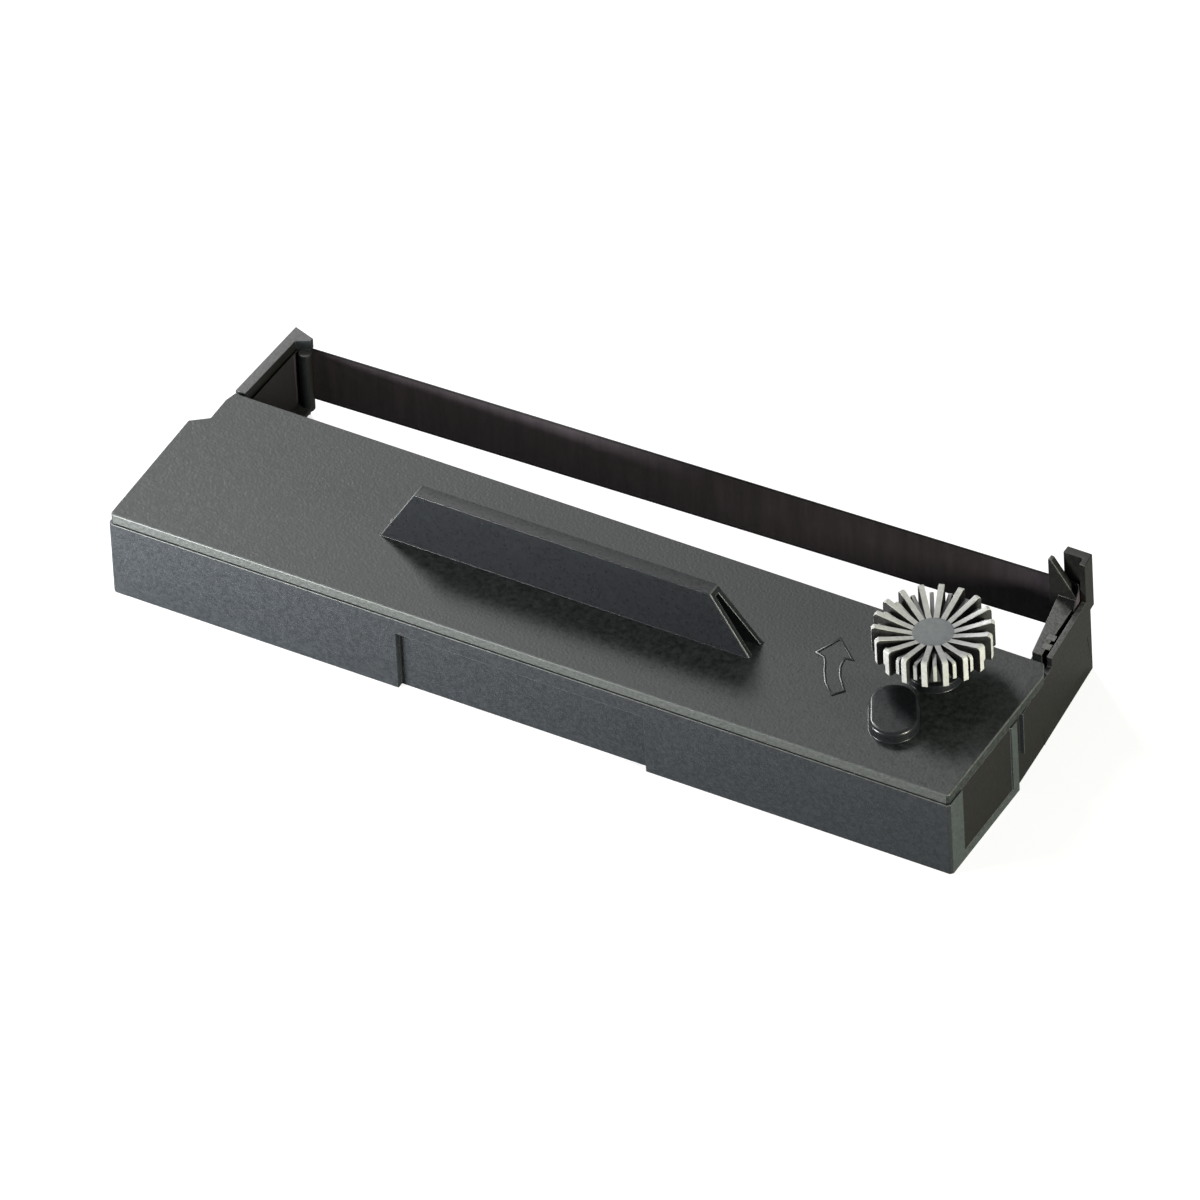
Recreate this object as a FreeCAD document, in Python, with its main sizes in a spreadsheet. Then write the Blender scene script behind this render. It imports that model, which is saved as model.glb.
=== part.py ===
# Ribbon cartridge of a small desktop printer, in millimetres.
# The tray and its two arms lie along X, the ribbon crosses between the arm tips at the back (+Y),
# and the finned knob stands up (+Z). The origin is the middle of the footprint, on the table.

import FreeCAD, Part
import math
import os
import Sketcher

NODE_FOLDER = "parts"
UP = FreeCAD.Vector(0, 0, 1)

doc = FreeCAD.newDocument("ribbon_cartridge")

# Driving dimensions
# Places along the length start at the left end, places in depth start at the front face.
dimensions = {
    "case_length": 159,
    "arm_length": 18.9,
    "headroom": 2.05,
    "cover_thickness": 2,
    "wall": 1.5,
    "floor_thickness": 1.5,
    "cover_gap": 0.2,
    "cover_inset": 0.3,
    "corner_bevel": 0.5,
    "edge_softening": 0.3,
    "shoulder_reach": 9.5,
    "shoulder_inset": 3,
    "shoulder_slope": 2.2,
    "arm_root_inset": 3.6,
    "left_tip_inset": 4.65,
    "left_wall": 2,
    "left_floor_low": 3,
    "left_floor_thickness": 1,
    "left_floor_edge": 9.2,
    "left_post_inset": 8.2,
    "left_post_radius": 1.2,
    "side_reach": 13.1,
    "side_notch": 2,
    "skirt_proud": 0.7,
    "skirt_low_front": 6.3,
    "skirt_low_tip": 3.6,
    "right_tip_inset": 2.8,
    "right_wall": 1.05,
    "right_arm_root": 4.9,
    "right_arm_tip": 7.6,
    "strip_gap": 1.2,
    "slot_width": 0.5,
    "slot_floor": 2.2,
    "tower_rise": 8.3,
    "tower_width": 3.9,
    "tower_depth": 3.2,
    "ear_reach": 9.4,
    "ear_thickness": 1.2,
    "ear_rise": 7.3,
    "recess_start": 54.7,
    "recess_to_end": 57.5,
    "recess_land": 3.1,
    "recess_depth": 1.2,
    "side_panel_start": 4.6,
    "side_panel_depth": 0.3,
    "grip_start": 43.3,
    "grip_to_drive": 29.3,
    "grip_lean": 7,
    "grip_place": 15.5,
    "grip_base": 4.8,
    "grip_top": 2.8,
    "grip_height": 11.5,
    "grip_wall": 1,
    "drive_inset": 16.4,
    "spring_room": 6.9,
    "knob_margin": 0.8,
    "roller_radius": 5,
    "roller_tooth": 0.6,
    "roller_teeth": 20,
    "roller_groove_radius": 3.2,
    "groove_inset": 2.1,
    "groove_width": 1.4,
    "shaft_radius": 2.5,
    "journal_radius": 3.8,
    "running_gap": 0.08,
    "thrust_gap": 0.2,
    "socket_radius": 2.1,
    "socket_depth": 8,
    "knob_radius": 10.2,
    "knob_hub_radius": 3.5,
    "knob_lift": 6.2,
    "knob_hub_height": 3.4,
    "fin_height": 5.3,
    "fin_corner": 0.6,
    "knob_fins": 18,
    "fin_thickness": 1,
    "short_fin_radius": 9.5,
    "short_fin_thickness": 0.7,
    "short_fin_drop": 1.2,
    "bearing_radius": 4.6,
    "bearing_height": 1.6,
    "boss_radius": 4.1,
    "boss_length": 3.85,
    "boss_lean": 2.1,
    "boss_height": 2.1,
    "boss_wall": 1.2,
    "idler_travel": 1.2,
    "pin_radius": 1,
    "carrier_width": 7,
    "carrier_plate": 1,
    "ribbon_width": 10.65,
    "ribbon_thickness": 0.15,
    "ribbon_gap": 0.1,
    "ribbon_low": 2.4,
    "ribbon_low_left": 4.4,
    "ribbon_low_right": 9.3,
    "ribbon_inset": 2,
    "guide_radius": 1.8,
    "divider_inset": 24,
    "exit_reach": 8,
    "fold_pitch": 2.4,
    "fold_margin": 1,
    "finger_thickness": 0.8,
    "spring_radius": 2.2,
    "spring_wire": 0.5,
    "spring_turns": 5,
    "pad_thickness": 1,
    "pad_length": 4,
    "leaf_thickness": 0.2,
    "leaf_width": 8,
}

sheet = doc.addObject("Spreadsheet::Sheet", "dim")
for row, (alias, size) in enumerate(dimensions.items(), start=1):
    sheet.set(f"A{row}", alias)
    sheet.set(f"B{row}", str(size))
    sheet.setAlias(f"B{row}", alias)
doc.recompute()


def number(expression):
    """The value in millimetres of an expression on the sheet."""
    result = sheet.evalExpression(expression)
    return float(getattr(result, "Value", result))


# Levels: the ribbon's width sets the case's height, and everything above is measured from the cover
CASE_TOP = "(dim.ribbon_low + dim.ribbon_width + dim.headroom)"
BODY_HEIGHT = f"({CASE_TOP} + dim.cover_thickness)"
RECESS_HEIGHT = f"({CASE_TOP} - dim.recess_land)"
TOWER_TOP = f"({BODY_HEIGHT} + dim.tower_rise)"
EAR_TOP = f"({BODY_HEIGHT} + dim.ear_rise)"
KNOB_LOW = f"({BODY_HEIGHT} + dim.knob_lift)"
HUB_TOP = f"({KNOB_LOW} + dim.knob_hub_height)"
RIM_TOP = f"({KNOB_LOW} + dim.fin_height)"
ROLLER_LOW = "(dim.floor_thickness + dim.carrier_plate + 3 * dim.thrust_gap)"
ROLLER_HIGH = f"({CASE_TOP} - dim.carrier_plate - 3 * dim.thrust_gap)"
GROOVE_LEVELS = {
    "low": f"({ROLLER_LOW} + dim.groove_inset)",
    "high": f"({ROLLER_HIGH} - dim.groove_inset - dim.groove_width)",
}

# Places in depth: spring, idler, ribbon and feed roller follow one another from the front wall
IDLER_PLACE = "(dim.wall + dim.spring_room + dim.carrier_plate + dim.wall / 2 + dim.roller_radius)"
NIP = f"({IDLER_PLACE} + dim.roller_radius + dim.ribbon_gap + dim.ribbon_thickness / 2)"
DRIVE_PLACE = f"({NIP} + dim.ribbon_thickness / 2 + dim.ribbon_gap + dim.roller_radius)"
BODY_DEPTH = f"({DRIVE_PLACE} + dim.knob_radius + dim.knob_margin)"
ARM_REACH = f"({BODY_DEPTH} + dim.arm_length)"
SHOULDER = f"({BODY_DEPTH} - dim.shoulder_reach)"
SIDE_END = f"({BODY_DEPTH} - dim.side_reach)"
RIBBON_PLACE = f"({ARM_REACH} - dim.ribbon_inset)"
TIP_CENTRE = f"({RIBBON_PLACE} - dim.ribbon_thickness / 2 - dim.ribbon_gap - dim.left_post_radius)"
RIBBON_OFFSET = "dim.ribbon_thickness / 2 + dim.ribbon_gap"


def along(place):
    """X of a place measured from the left end."""
    return f"({place}) - dim.case_length / 2"


def deep(place):
    """Y of a place measured from the front face."""
    return f"({place}) - {ARM_REACH} / 2"


def plan(points):
    """Corners of an outline seen from above, from places along the length and in depth."""
    return [(along(a), deep(b)) for a, b in points]


def rectangle(left, front, right, back):
    return [(left, front), (right, front), (right, back), (left, back)]


# Lines along the length, and the two arms' leaning sides
DRIVE_X = along("dim.case_length - dim.drive_inset")
RECESS_END = "(dim.case_length - dim.recess_to_end)"
GRIP_END = "(dim.case_length - dim.drive_inset - dim.grip_to_drive)"
SKIRT_START = f"({SIDE_END} + dim.side_notch)"
LEAN = f"(dim.right_tip_inset / ({ARM_REACH} - {SKIRT_START}))"
LEFT_LEAN = f"((dim.left_tip_inset - dim.arm_root_inset) / ({ARM_REACH} - {BODY_DEPTH}))"


def skirt(place, inward="0"):
    """Place along the length of the right-hand side, which leans in towards the arm's tip."""
    return f"dim.case_length - (({place}) - {SKIRT_START}) * {LEAN} - ({inward})"


def left_side(place, inward="0"):
    """The same for the outer face of the left arm."""
    return f"dim.arm_root_inset + (({place}) - {BODY_DEPTH}) * {LEFT_LEAN} + ({inward})"


# Sketch and feature helpers
def new_body(label):
    body = doc.addObject("PartDesign::Body", label)
    body.Label = label
    return body


def new_sketch(body, name, role, lift):
    sketch = body.newObject("Sketcher::SketchObject", name)
    plane = next(item for item in body.Origin.OriginFeatures if item.Role == role)
    sketch.AttachmentSupport = [(plane, "")]
    sketch.MapMode = "FlatFace"
    sketch.setExpression(".AttachmentOffset.Base.z", lift)
    return sketch


def turn_sketch(sketch, angle):
    """Turn a sketch's plane about its own upright axis."""
    upright = FreeCAD.Rotation(FreeCAD.Vector(0, 1, 0), 1)
    sketch.AttachmentOffset = FreeCAD.Placement(FreeCAD.Vector(), upright)
    sketch.setExpression(".AttachmentOffset.Rotation.Angle", angle)


def hold(sketch, geometry, point, u, v):
    """Tie one point of a sketch to two expressions, measured from the sketch's origin."""
    for kind, expression in (("DistanceX", u), ("DistanceY", v)):
        bond = sketch.addConstraint(Sketcher.Constraint(kind, -1, 1, geometry, point, number(expression)))
        sketch.setExpression(f"Constraints[{bond}]", expression)


def hold_radius(sketch, geometry, radius):
    bond = sketch.addConstraint(Sketcher.Constraint("Radius", geometry, number(radius)))
    sketch.setExpression(f"Constraints[{bond}]", radius)


def outlines(body, name, polygons, role="XY_Plane", lift="0"):
    """A sketch of closed polygons whose corners are pairs of expressions."""
    sketch = new_sketch(body, name, role, lift)
    for corners in polygons:
        places = [FreeCAD.Vector(number(u), number(v), 0) for u, v in corners]
        first = sketch.GeometryCount
        count = len(places)
        for i in range(count):
            sketch.addGeometry(Part.LineSegment(places[i], places[(i + 1) % count]), False)
        for i in range(count):
            sketch.addConstraint(Sketcher.Constraint("Coincident", first + i, 2, first + (i + 1) % count, 1))
        for i, (u, v) in enumerate(corners):
            hold(sketch, first + i, 1, u, v)
    return sketch


def circles(body, name, rounds, role="XY_Plane", lift="0"):
    """A sketch of circles, each given by the expressions of its centre and radius."""
    sketch = new_sketch(body, name, role, lift)
    for u, v, radius in rounds:
        centre = FreeCAD.Vector(number(u), number(v), 0)
        index = sketch.addGeometry(Part.Circle(centre, UP, number(radius)), False)
        hold(sketch, index, 3, u, v)
        hold_radius(sketch, index, radius)
    return sketch


def stadium(body, name, first, second, radius, lift="0"):
    """A long round-ended outline between two end centres."""
    sketch = new_sketch(body, name, "XY_Plane", lift)
    r = number(radius)
    start, finish = (FreeCAD.Vector(number(u), number(v), 0) for u, v in (first, second))
    ahead = (finish - start).normalize()
    left = UP.cross(ahead) * r
    heading = math.atan2(ahead.y, ahead.x)
    quarter = math.pi / 2
    finish_round = Part.Circle(finish, UP, r)
    start_round = Part.Circle(start, UP, r)
    sketch.addGeometry(Part.LineSegment(start - left, finish - left), False)
    sketch.addGeometry(Part.ArcOfCircle(finish_round, heading - quarter, heading + quarter), False)
    sketch.addGeometry(Part.LineSegment(finish + left, start + left), False)
    sketch.addGeometry(Part.ArcOfCircle(start_round, heading + quarter, heading + 3 * quarter), False)
    for i in range(4):
        sketch.addConstraint(Sketcher.Constraint("Tangent", i, 2, (i + 1) % 4, 1))
    sketch.addConstraint(Sketcher.Constraint("Equal", 1, 3))
    hold(sketch, 1, 3, *second)
    hold(sketch, 3, 3, *first)
    hold_radius(sketch, 1, radius)
    return sketch


def pad(body, sketch, length, both_ways=False):
    feature = body.newObject("PartDesign::Pad", sketch.Name + "_pad")
    feature.Profile = sketch
    feature.setExpression("Length", length)
    feature.Midplane = both_ways
    return feature


def pocket(body, sketch, length, reverse=False):
    feature = body.newObject("PartDesign::Pocket", sketch.Name + "_pocket")
    feature.Profile = sketch
    feature.setExpression("Length", length)
    feature.Reversed = reverse
    return feature


def edges_where(body, wanted):
    """Names of the edges of the body's shape, so far, that the test accepts."""
    doc.recompute()
    names = [f"Edge{i}" for i, edge in enumerate(body.Tip.Shape.Edges, start=1) if wanted(edge)]
    if not names:
        raise RuntimeError(f"no edge of {body.Label} to soften")
    return names


def soften(body, kind, name, names, size_name, size):
    base = body.Tip
    feature = body.newObject(f"PartDesign::{kind}", name)
    feature.Base = (base, names)
    feature.setExpression(size_name, size)
    return feature


# Bottom case: one moulding with the tray, both arms and the inner walls
case = new_body("bottom_case")

BODY_OUTLINE = [
    ("0", "dim.corner_bevel"),
    ("dim.corner_bevel", "0"),
    ("dim.case_length - dim.corner_bevel", "0"),
    ("dim.case_length", "dim.corner_bevel"),
    ("dim.case_length", SIDE_END),
    (skirt(SKIRT_START, "dim.skirt_proud"), SIDE_END),
    (skirt(BODY_DEPTH, "dim.skirt_proud"), BODY_DEPTH),
    ("dim.arm_root_inset", BODY_DEPTH),
    ("dim.shoulder_inset", f"{BODY_DEPTH} - dim.shoulder_slope"),
    ("dim.shoulder_inset", f"{SHOULDER} + dim.shoulder_slope"),
    ("0", SHOULDER),
]
pad(case, outlines(case, "tray_outline", [plan(BODY_OUTLINE)]), CASE_TOP)

INNER_BACK = f"{BODY_DEPTH} - dim.wall"
BUMP = "dim.wall + dim.recess_depth"
CAVITY = [
    ("dim.wall", "dim.wall"),
    ("dim.recess_start - dim.wall", "dim.wall"),
    ("dim.recess_start - dim.wall", BUMP),
    (f"{RECESS_END} + dim.wall", BUMP),
    (f"{RECESS_END} + dim.wall", "dim.wall"),
    ("dim.case_length - dim.wall", "dim.wall"),
    ("dim.case_length - dim.wall", f"{SIDE_END} - dim.wall"),
    (skirt(SKIRT_START, "dim.right_wall"), f"{SIDE_END} - dim.wall"),
    (skirt(INNER_BACK, "dim.right_wall"), INNER_BACK),
    ("dim.shoulder_inset + dim.wall", INNER_BACK),
    ("dim.shoulder_inset + dim.wall", f"{SHOULDER} + dim.shoulder_slope + dim.wall / 2"),
    ("dim.wall", f"{SHOULDER} + dim.wall / 2"),
]
cavity = outlines(case, "cavity", [plan(CAVITY)], lift=CASE_TOP)
pocket(case, cavity, f"{CASE_TOP} - dim.floor_thickness")

# Left arm: outer wall with a hooked end, a thin floor and the post that turns the ribbon
LEFT_HOOK_BACK = f"{RIBBON_PLACE} + dim.ribbon_thickness / 2 + 2 * dim.ribbon_gap"
HOOK_END = "dim.left_post_inset + dim.left_post_radius / 2"
LEFT_WALL = [
    (left_side(INNER_BACK), INNER_BACK),
    (left_side(INNER_BACK, "dim.left_wall"), INNER_BACK),
    (left_side(TIP_CENTRE, "dim.left_wall"), TIP_CENTRE),
    ("dim.left_post_inset - dim.left_post_radius / 2", LEFT_HOOK_BACK),
    (left_side(ARM_REACH), ARM_REACH),
]
pad(case, outlines(case, "left_wall", [plan(LEFT_WALL)]), CASE_TOP)
LEFT_RAIL_ROOT = f"{BODY_DEPTH} + dim.cover_gap"
LEFT_RAIL = [
    (left_side(LEFT_RAIL_ROOT), LEFT_RAIL_ROOT),
    (left_side(LEFT_RAIL_ROOT, "dim.left_wall"), LEFT_RAIL_ROOT),
    (left_side(TIP_CENTRE, "dim.left_wall"), TIP_CENTRE),
    (HOOK_END, f"{RIBBON_PLACE} - 2 * dim.ribbon_gap"),
    (HOOK_END, f"{RIBBON_PLACE} + dim.left_post_radius / 2"),
    (left_side(ARM_REACH), ARM_REACH),
]
pad(case, outlines(case, "left_rail", [plan(LEFT_RAIL)], lift=CASE_TOP), "dim.cover_thickness")
LEFT_SWEEP = "dim.left_post_radius + dim.ribbon_thickness + 3 * dim.ribbon_gap"
LEFT_POST = (along("dim.left_post_inset"), deep(TIP_CENTRE))
turn_room = circles(case, "left_turn_room", [(*LEFT_POST, LEFT_SWEEP)], lift=f"{CASE_TOP} + dim.ribbon_gap")
pocket(case, turn_room, BODY_HEIGHT)
LEFT_FLOOR = [
    (left_side(INNER_BACK, "dim.left_wall / 2"), INNER_BACK),
    ("dim.left_floor_edge", INNER_BACK),
    ("dim.left_floor_edge", TIP_CENTRE),
    ("dim.left_post_inset", f"{TIP_CENTRE} + dim.left_post_radius"),
    (left_side(TIP_CENTRE, "dim.left_wall / 2"), TIP_CENTRE),
]
left_floor = outlines(case, "left_floor", [plan(LEFT_FLOOR)], lift="dim.left_floor_low")
pad(case, left_floor, "dim.left_floor_thickness")
left_post = circles(case, "left_post", [(*LEFT_POST, "dim.left_post_radius")], lift="dim.left_floor_low")
pad(case, left_post, f"{CASE_TOP} + 2 * dim.ribbon_gap - dim.left_floor_low")

# Right arm: a closed bar with a slot for the ribbon, a proud skirt and the raised tip
def right_arm_outline(root):
    return [
        ("dim.case_length - dim.right_arm_root", root),
        (skirt(root, "dim.skirt_proud"), root),
        (skirt(ARM_REACH, "dim.skirt_proud"), ARM_REACH),
        ("dim.case_length - dim.right_arm_tip", ARM_REACH),
        ("dim.case_length - dim.right_arm_tip", f"{TIP_CENTRE} - dim.ear_thickness / 2"),
    ]


pad(case, outlines(case, "right_bar", [plan(right_arm_outline(INNER_BACK))]), CASE_TOP)
STRIP_ROOT = f"{BODY_DEPTH} + dim.strip_gap"
right_strip = outlines(case, "right_strip", [plan(right_arm_outline(STRIP_ROOT))], lift=CASE_TOP)
pad(case, right_strip, "dim.cover_thickness")

TOWER_FRONT = f"({ARM_REACH} - dim.tower_depth)"
TOWER_BACK = f"{RIBBON_PLACE} + dim.ribbon_thickness / 2 + 3 * dim.ribbon_gap"
TOWER = [
    (skirt(TOWER_FRONT, "dim.right_wall"), TOWER_FRONT),
    (skirt(TOWER_FRONT, "dim.skirt_proud"), TOWER_FRONT),
    (skirt(ARM_REACH, "dim.skirt_proud"), ARM_REACH),
    (skirt(ARM_REACH, "dim.skirt_proud + dim.tower_width"), ARM_REACH),
    (skirt(ARM_REACH, "dim.skirt_proud + dim.tower_width"), TOWER_BACK),
    (skirt(TOWER_BACK, "dim.right_wall"), TOWER_BACK),
]
tower = outlines(case, "tower", [plan(TOWER)], lift=CASE_TOP)
pad(case, tower, f"{TOWER_TOP} - {CASE_TOP}")

EAR = [
    (along("dim.case_length - dim.ear_reach"), "0"),
    (along(skirt(TIP_CENTRE, "dim.right_wall + dim.slot_width / 2")), "0"),
    (along(skirt(TIP_CENTRE, "dim.right_wall + dim.slot_width / 2")), BODY_HEIGHT),
    (along("dim.case_length - dim.ear_reach + dim.ear_thickness / 2"), EAR_TOP),
    (along("dim.case_length - dim.ear_reach"), EAR_TOP),
]
EAR_FRONT = f"{TIP_CENTRE} + dim.left_post_radius - dim.ear_thickness"
ear = outlines(case, "ear", [EAR], role="XZ_Plane", lift=f"-({deep(EAR_FRONT)})")
pad(case, ear, "dim.ear_thickness").Reversed = True

EAR_BACK = f"{TIP_CENTRE} + dim.left_post_radius"
SLOT_LINE = f"dim.right_wall + dim.slot_width / 2 + {RIBBON_OFFSET}"
RIGHT_TURN = (skirt(TIP_CENTRE, f"{SLOT_LINE} + dim.left_post_radius"), TIP_CENTRE)
SLOT_ROOT = f"{BODY_DEPTH} - 2 * dim.wall"
SLOT = [
    (skirt(SLOT_ROOT, "dim.right_wall"), SLOT_ROOT),
    (skirt(TOWER_BACK, "dim.right_wall"), TOWER_BACK),
    ("dim.case_length - dim.ear_reach - dim.wall", TOWER_BACK),
    ("dim.case_length - dim.ear_reach - dim.wall", EAR_BACK),
    (RIGHT_TURN[0], EAR_BACK),
    (skirt(TIP_CENTRE, "dim.right_wall + dim.slot_width"), TIP_CENTRE),
    (skirt(SLOT_ROOT, "dim.right_wall + 2 * dim.slot_width"), SLOT_ROOT),
]
slot = outlines(case, "ribbon_slot", [plan(SLOT)], lift=TOWER_TOP)
pocket(case, slot, f"{TOWER_TOP} - dim.slot_floor")

# The skirt is drawn on a plane that leans with the arm, so that its lower edge can slope up to the front
SKIRT_REACH = f"({TOWER_FRONT} - {SKIRT_START}) * sqrt(1 + {LEAN} ^ 2)"
SKIRT_SIDE = [
    ("0", "dim.skirt_low_front"),
    (SKIRT_REACH, "dim.skirt_low_tip"),
    (SKIRT_REACH, CASE_TOP),
    ("0", CASE_TOP),
]
skirt_side = outlines(case, "skirt", [SKIRT_SIDE], role="YZ_Plane", lift=along(skirt(SKIRT_START)))
turn_sketch(skirt_side, f"atan({LEAN})")
skirt_side.setExpression(".AttachmentOffset.Base.x", deep(SKIRT_START))
pad(case, skirt_side, "dim.skirt_proud + dim.cover_gap").Reversed = True
SKIRT_RAIL = [
    (skirt(STRIP_ROOT), STRIP_ROOT),
    (skirt(TOWER_FRONT), TOWER_FRONT),
    (skirt(TOWER_FRONT, "dim.right_wall"), TOWER_FRONT),
    (skirt(STRIP_ROOT, "dim.right_wall"), STRIP_ROOT),
]
skirt_rail = outlines(case, "skirt_rail", [plan(SKIRT_RAIL)], lift=CASE_TOP)
pad(case, skirt_rail, "dim.cover_thickness")
SKIRT_TIP = [
    (skirt(TOWER_FRONT), TOWER_FRONT),
    (skirt(ARM_REACH), ARM_REACH),
    (skirt(ARM_REACH, "dim.right_wall"), ARM_REACH),
    (skirt(TOWER_FRONT, "dim.right_wall"), TOWER_FRONT),
]
skirt_tip = outlines(case, "skirt_tip", [plan(SKIRT_TIP)], lift=f"{CASE_TOP} - dim.wall / 2")
pad(case, skirt_tip, f"{TOWER_TOP} - {CASE_TOP} + dim.wall / 2")

# Openings and recesses of the walls
LEFT_EXIT = rectangle("dim.arm_root_inset + dim.left_wall", f"{BODY_DEPTH} - 2 * dim.wall",
                      "dim.left_post_inset", f"{BODY_DEPTH} + dim.wall")
left_exit = outlines(case, "left_exit", [plan(LEFT_EXIT)], lift=CASE_TOP)
pocket(case, left_exit, f"{CASE_TOP} - dim.left_floor_low - dim.left_floor_thickness")
RECESS = [
    (along("dim.recess_start"), "-dim.wall"),
    (along(RECESS_END), "-dim.wall"),
    (along(RECESS_END), RECESS_HEIGHT),
    (along("dim.recess_start"), RECESS_HEIGHT),
]
recess = outlines(case, "front_recess", [RECESS], role="XZ_Plane", lift=f"{ARM_REACH} / 2")
pocket(case, recess, "dim.recess_depth")
SIDE_PANEL = [
    (deep("dim.side_panel_start"), "dim.floor_thickness"),
    (deep(f"{SIDE_END} - dim.side_notch"), "dim.floor_thickness"),
    (deep(f"{SIDE_END} - dim.side_notch"), f"{CASE_TOP} + dim.wall"),
    (deep("dim.side_panel_start"), f"{CASE_TOP} + dim.wall"),
]
side_panel = outlines(case, "side_panel", [SIDE_PANEL], role="YZ_Plane", lift="dim.case_length / 2")
pocket(case, side_panel, "dim.side_panel_depth")
DRIVE = (DRIVE_X, deep(DRIVE_PLACE))
DRIVE_HOLE = (*DRIVE, "dim.journal_radius + dim.running_gap")
drive_hole = circles(case, "drive_hole", [DRIVE_HOLE], lift="dim.floor_thickness")
pocket(case, drive_hole, "dim.floor_thickness")

# Inner walls: the divider with its throat, the guide posts, the carrier's rails and the strippers
INNER_HEIGHT = f"{CASE_TOP} - dim.floor_thickness"
DIVIDER = "dim.case_length - dim.divider_inset"
THROAT = "dim.ribbon_thickness / 2 + 2 * dim.wall"
DIVIDER_WALLS = [
    plan(rectangle(DIVIDER, "dim.wall / 2", f"{DIVIDER} + dim.wall", f"{NIP} - ({THROAT})")),
    plan(rectangle(DIVIDER, f"{NIP} + {THROAT}", f"{DIVIDER} + dim.wall", f"{BODY_DEPTH} - dim.wall / 2")),
]
pad(case, outlines(case, "divider", DIVIDER_WALLS, lift="dim.floor_thickness"), INNER_HEIGHT)

GUIDE_PLACE = f"{NIP} + {RIBBON_OFFSET} + dim.guide_radius"
GUIDE_INWARD = f"dim.wall + 4 * dim.ribbon_gap + {RIBBON_OFFSET} + dim.guide_radius"
GUIDE = (skirt(GUIDE_PLACE, GUIDE_INWARD), GUIDE_PLACE)
EXIT_PLACE = f"{BODY_DEPTH} - dim.exit_reach"
EXIT_INWARD = f"dim.left_wall + 5 * dim.ribbon_gap + {RIBBON_OFFSET} + dim.guide_radius"
EXIT_GUIDE = (left_side(EXIT_PLACE, EXIT_INWARD), EXIT_PLACE)
GUIDE_POSTS = [(along(a), deep(b), "dim.guide_radius") for a, b in (GUIDE, EXIT_GUIDE)]
pad(case, circles(case, "guide_posts", GUIDE_POSTS, lift="dim.floor_thickness"), INNER_HEIGHT)

RAIL_GAP = "dim.carrier_width / 2 + dim.thrust_gap"
RAIL_FRONT = f"{IDLER_PLACE} - dim.roller_radius - dim.idler_travel - 2 * dim.wall"
RAILS = []
for side in ("-", "+"):
    near = f"dim.case_length - dim.drive_inset {side} ({RAIL_GAP})"
    far = f"dim.case_length - dim.drive_inset {side} ({RAIL_GAP} + dim.carrier_plate)"
    RAILS.append(plan(rectangle(near, RAIL_FRONT, far, IDLER_PLACE)))
pad(case, outlines(case, "carrier_rails", RAILS, lift="dim.floor_thickness"),
    f"{ROLLER_LOW} - dim.floor_thickness - dim.thrust_gap")

FINGER_NEAR = "dim.ribbon_thickness / 2 + 3 * dim.ribbon_gap"
FINGER_END = "dim.case_length - dim.drive_inset - dim.roller_radius / 3"
for level in ("low", "high"):
    fingers = []
    for side in ("-", "+"):
        near = f"{NIP} {side} ({FINGER_NEAR})"
        far = f"{NIP} {side} ({FINGER_NEAR} + dim.finger_thickness)"
        root = f"{NIP} {side} ({THROAT} + dim.wall / 2)"
        fingers.append(plan([(f"{DIVIDER} + dim.wall / 2", root), (f"{DIVIDER} + dim.wall / 2", near),
                             (FINGER_END, near), (FINGER_END, far), (f"{DIVIDER} + 2 * dim.wall", root)]))
    finger_low = f"{GROOVE_LEVELS[level]} + (dim.groove_width - dim.finger_thickness) / 2"
    pad(case, outlines(case, f"strippers_{level}", fingers, lift=finger_low), "dim.finger_thickness")

# Seats of the spring, the felt pad and the leaf
SPRING_LEVEL = f"(dim.floor_thickness + {CASE_TOP}) / 2"
SPRING_PEG = "dim.spring_radius - dim.spring_wire - 2 * dim.ribbon_gap"
spring_peg = circles(case, "spring_peg", [(DRIVE_X, SPRING_LEVEL, SPRING_PEG)],
                     role="XZ_Plane", lift=f"{ARM_REACH} / 2 - dim.wall / 2")
pad(case, spring_peg, "dim.wall + dim.wall / 2").Reversed = True

PAD_LEFT = "dim.shoulder_inset + dim.wall"
LEAF_START = f"{EXIT_GUIDE[0]} + 2 * dim.guide_radius"
LEAF_ROW = f"{BODY_DEPTH} - 2 * dim.wall"
LEAF_SEATS = [
    plan(rectangle(f"{LEAF_START} + dim.wall", f"{LEAF_ROW} + dim.leaf_thickness / 2",
                   f"{LEAF_START} + 4 * dim.wall", f"{BODY_DEPTH} - dim.wall / 2")),
    plan(rectangle(f"{LEAF_START} + 2 * dim.wall", f"{LEAF_ROW} - dim.leaf_thickness / 2 - dim.wall",
                   f"{LEAF_START} + 3 * dim.wall", f"{LEAF_ROW} - dim.leaf_thickness / 2")),
]
pad(case, outlines(case, "leaf_seats", LEAF_SEATS, lift="dim.floor_thickness"), INNER_HEIGHT)

# Top cover: the plate, its locating tabs, the hollow grip, the pin boss and the bearing
cover = new_body("top_cover")
COVER_BACK = f"{BODY_DEPTH} - dim.cover_inset"
COVER_RIGHT = "dim.case_length - dim.cover_inset"
COVER_OUTLINE = [
    ("dim.cover_inset", "dim.cover_inset + dim.corner_bevel"),
    ("dim.cover_inset + dim.corner_bevel", "dim.cover_inset"),
    (f"{COVER_RIGHT} - dim.corner_bevel", "dim.cover_inset"),
    (COVER_RIGHT, "dim.cover_inset + dim.corner_bevel"),
    (COVER_RIGHT, f"{COVER_BACK} - 2 * dim.wall"),
    (f"{COVER_RIGHT} - dim.wall", COVER_BACK),
    ("dim.arm_root_inset + dim.cover_inset", COVER_BACK),
    ("dim.shoulder_inset + dim.cover_inset", f"{COVER_BACK} - dim.shoulder_slope"),
    ("dim.shoulder_inset + dim.cover_inset", f"{SHOULDER} + dim.shoulder_slope - dim.cover_inset"),
    ("dim.cover_inset", f"{SHOULDER} - dim.cover_inset"),
]
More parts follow.
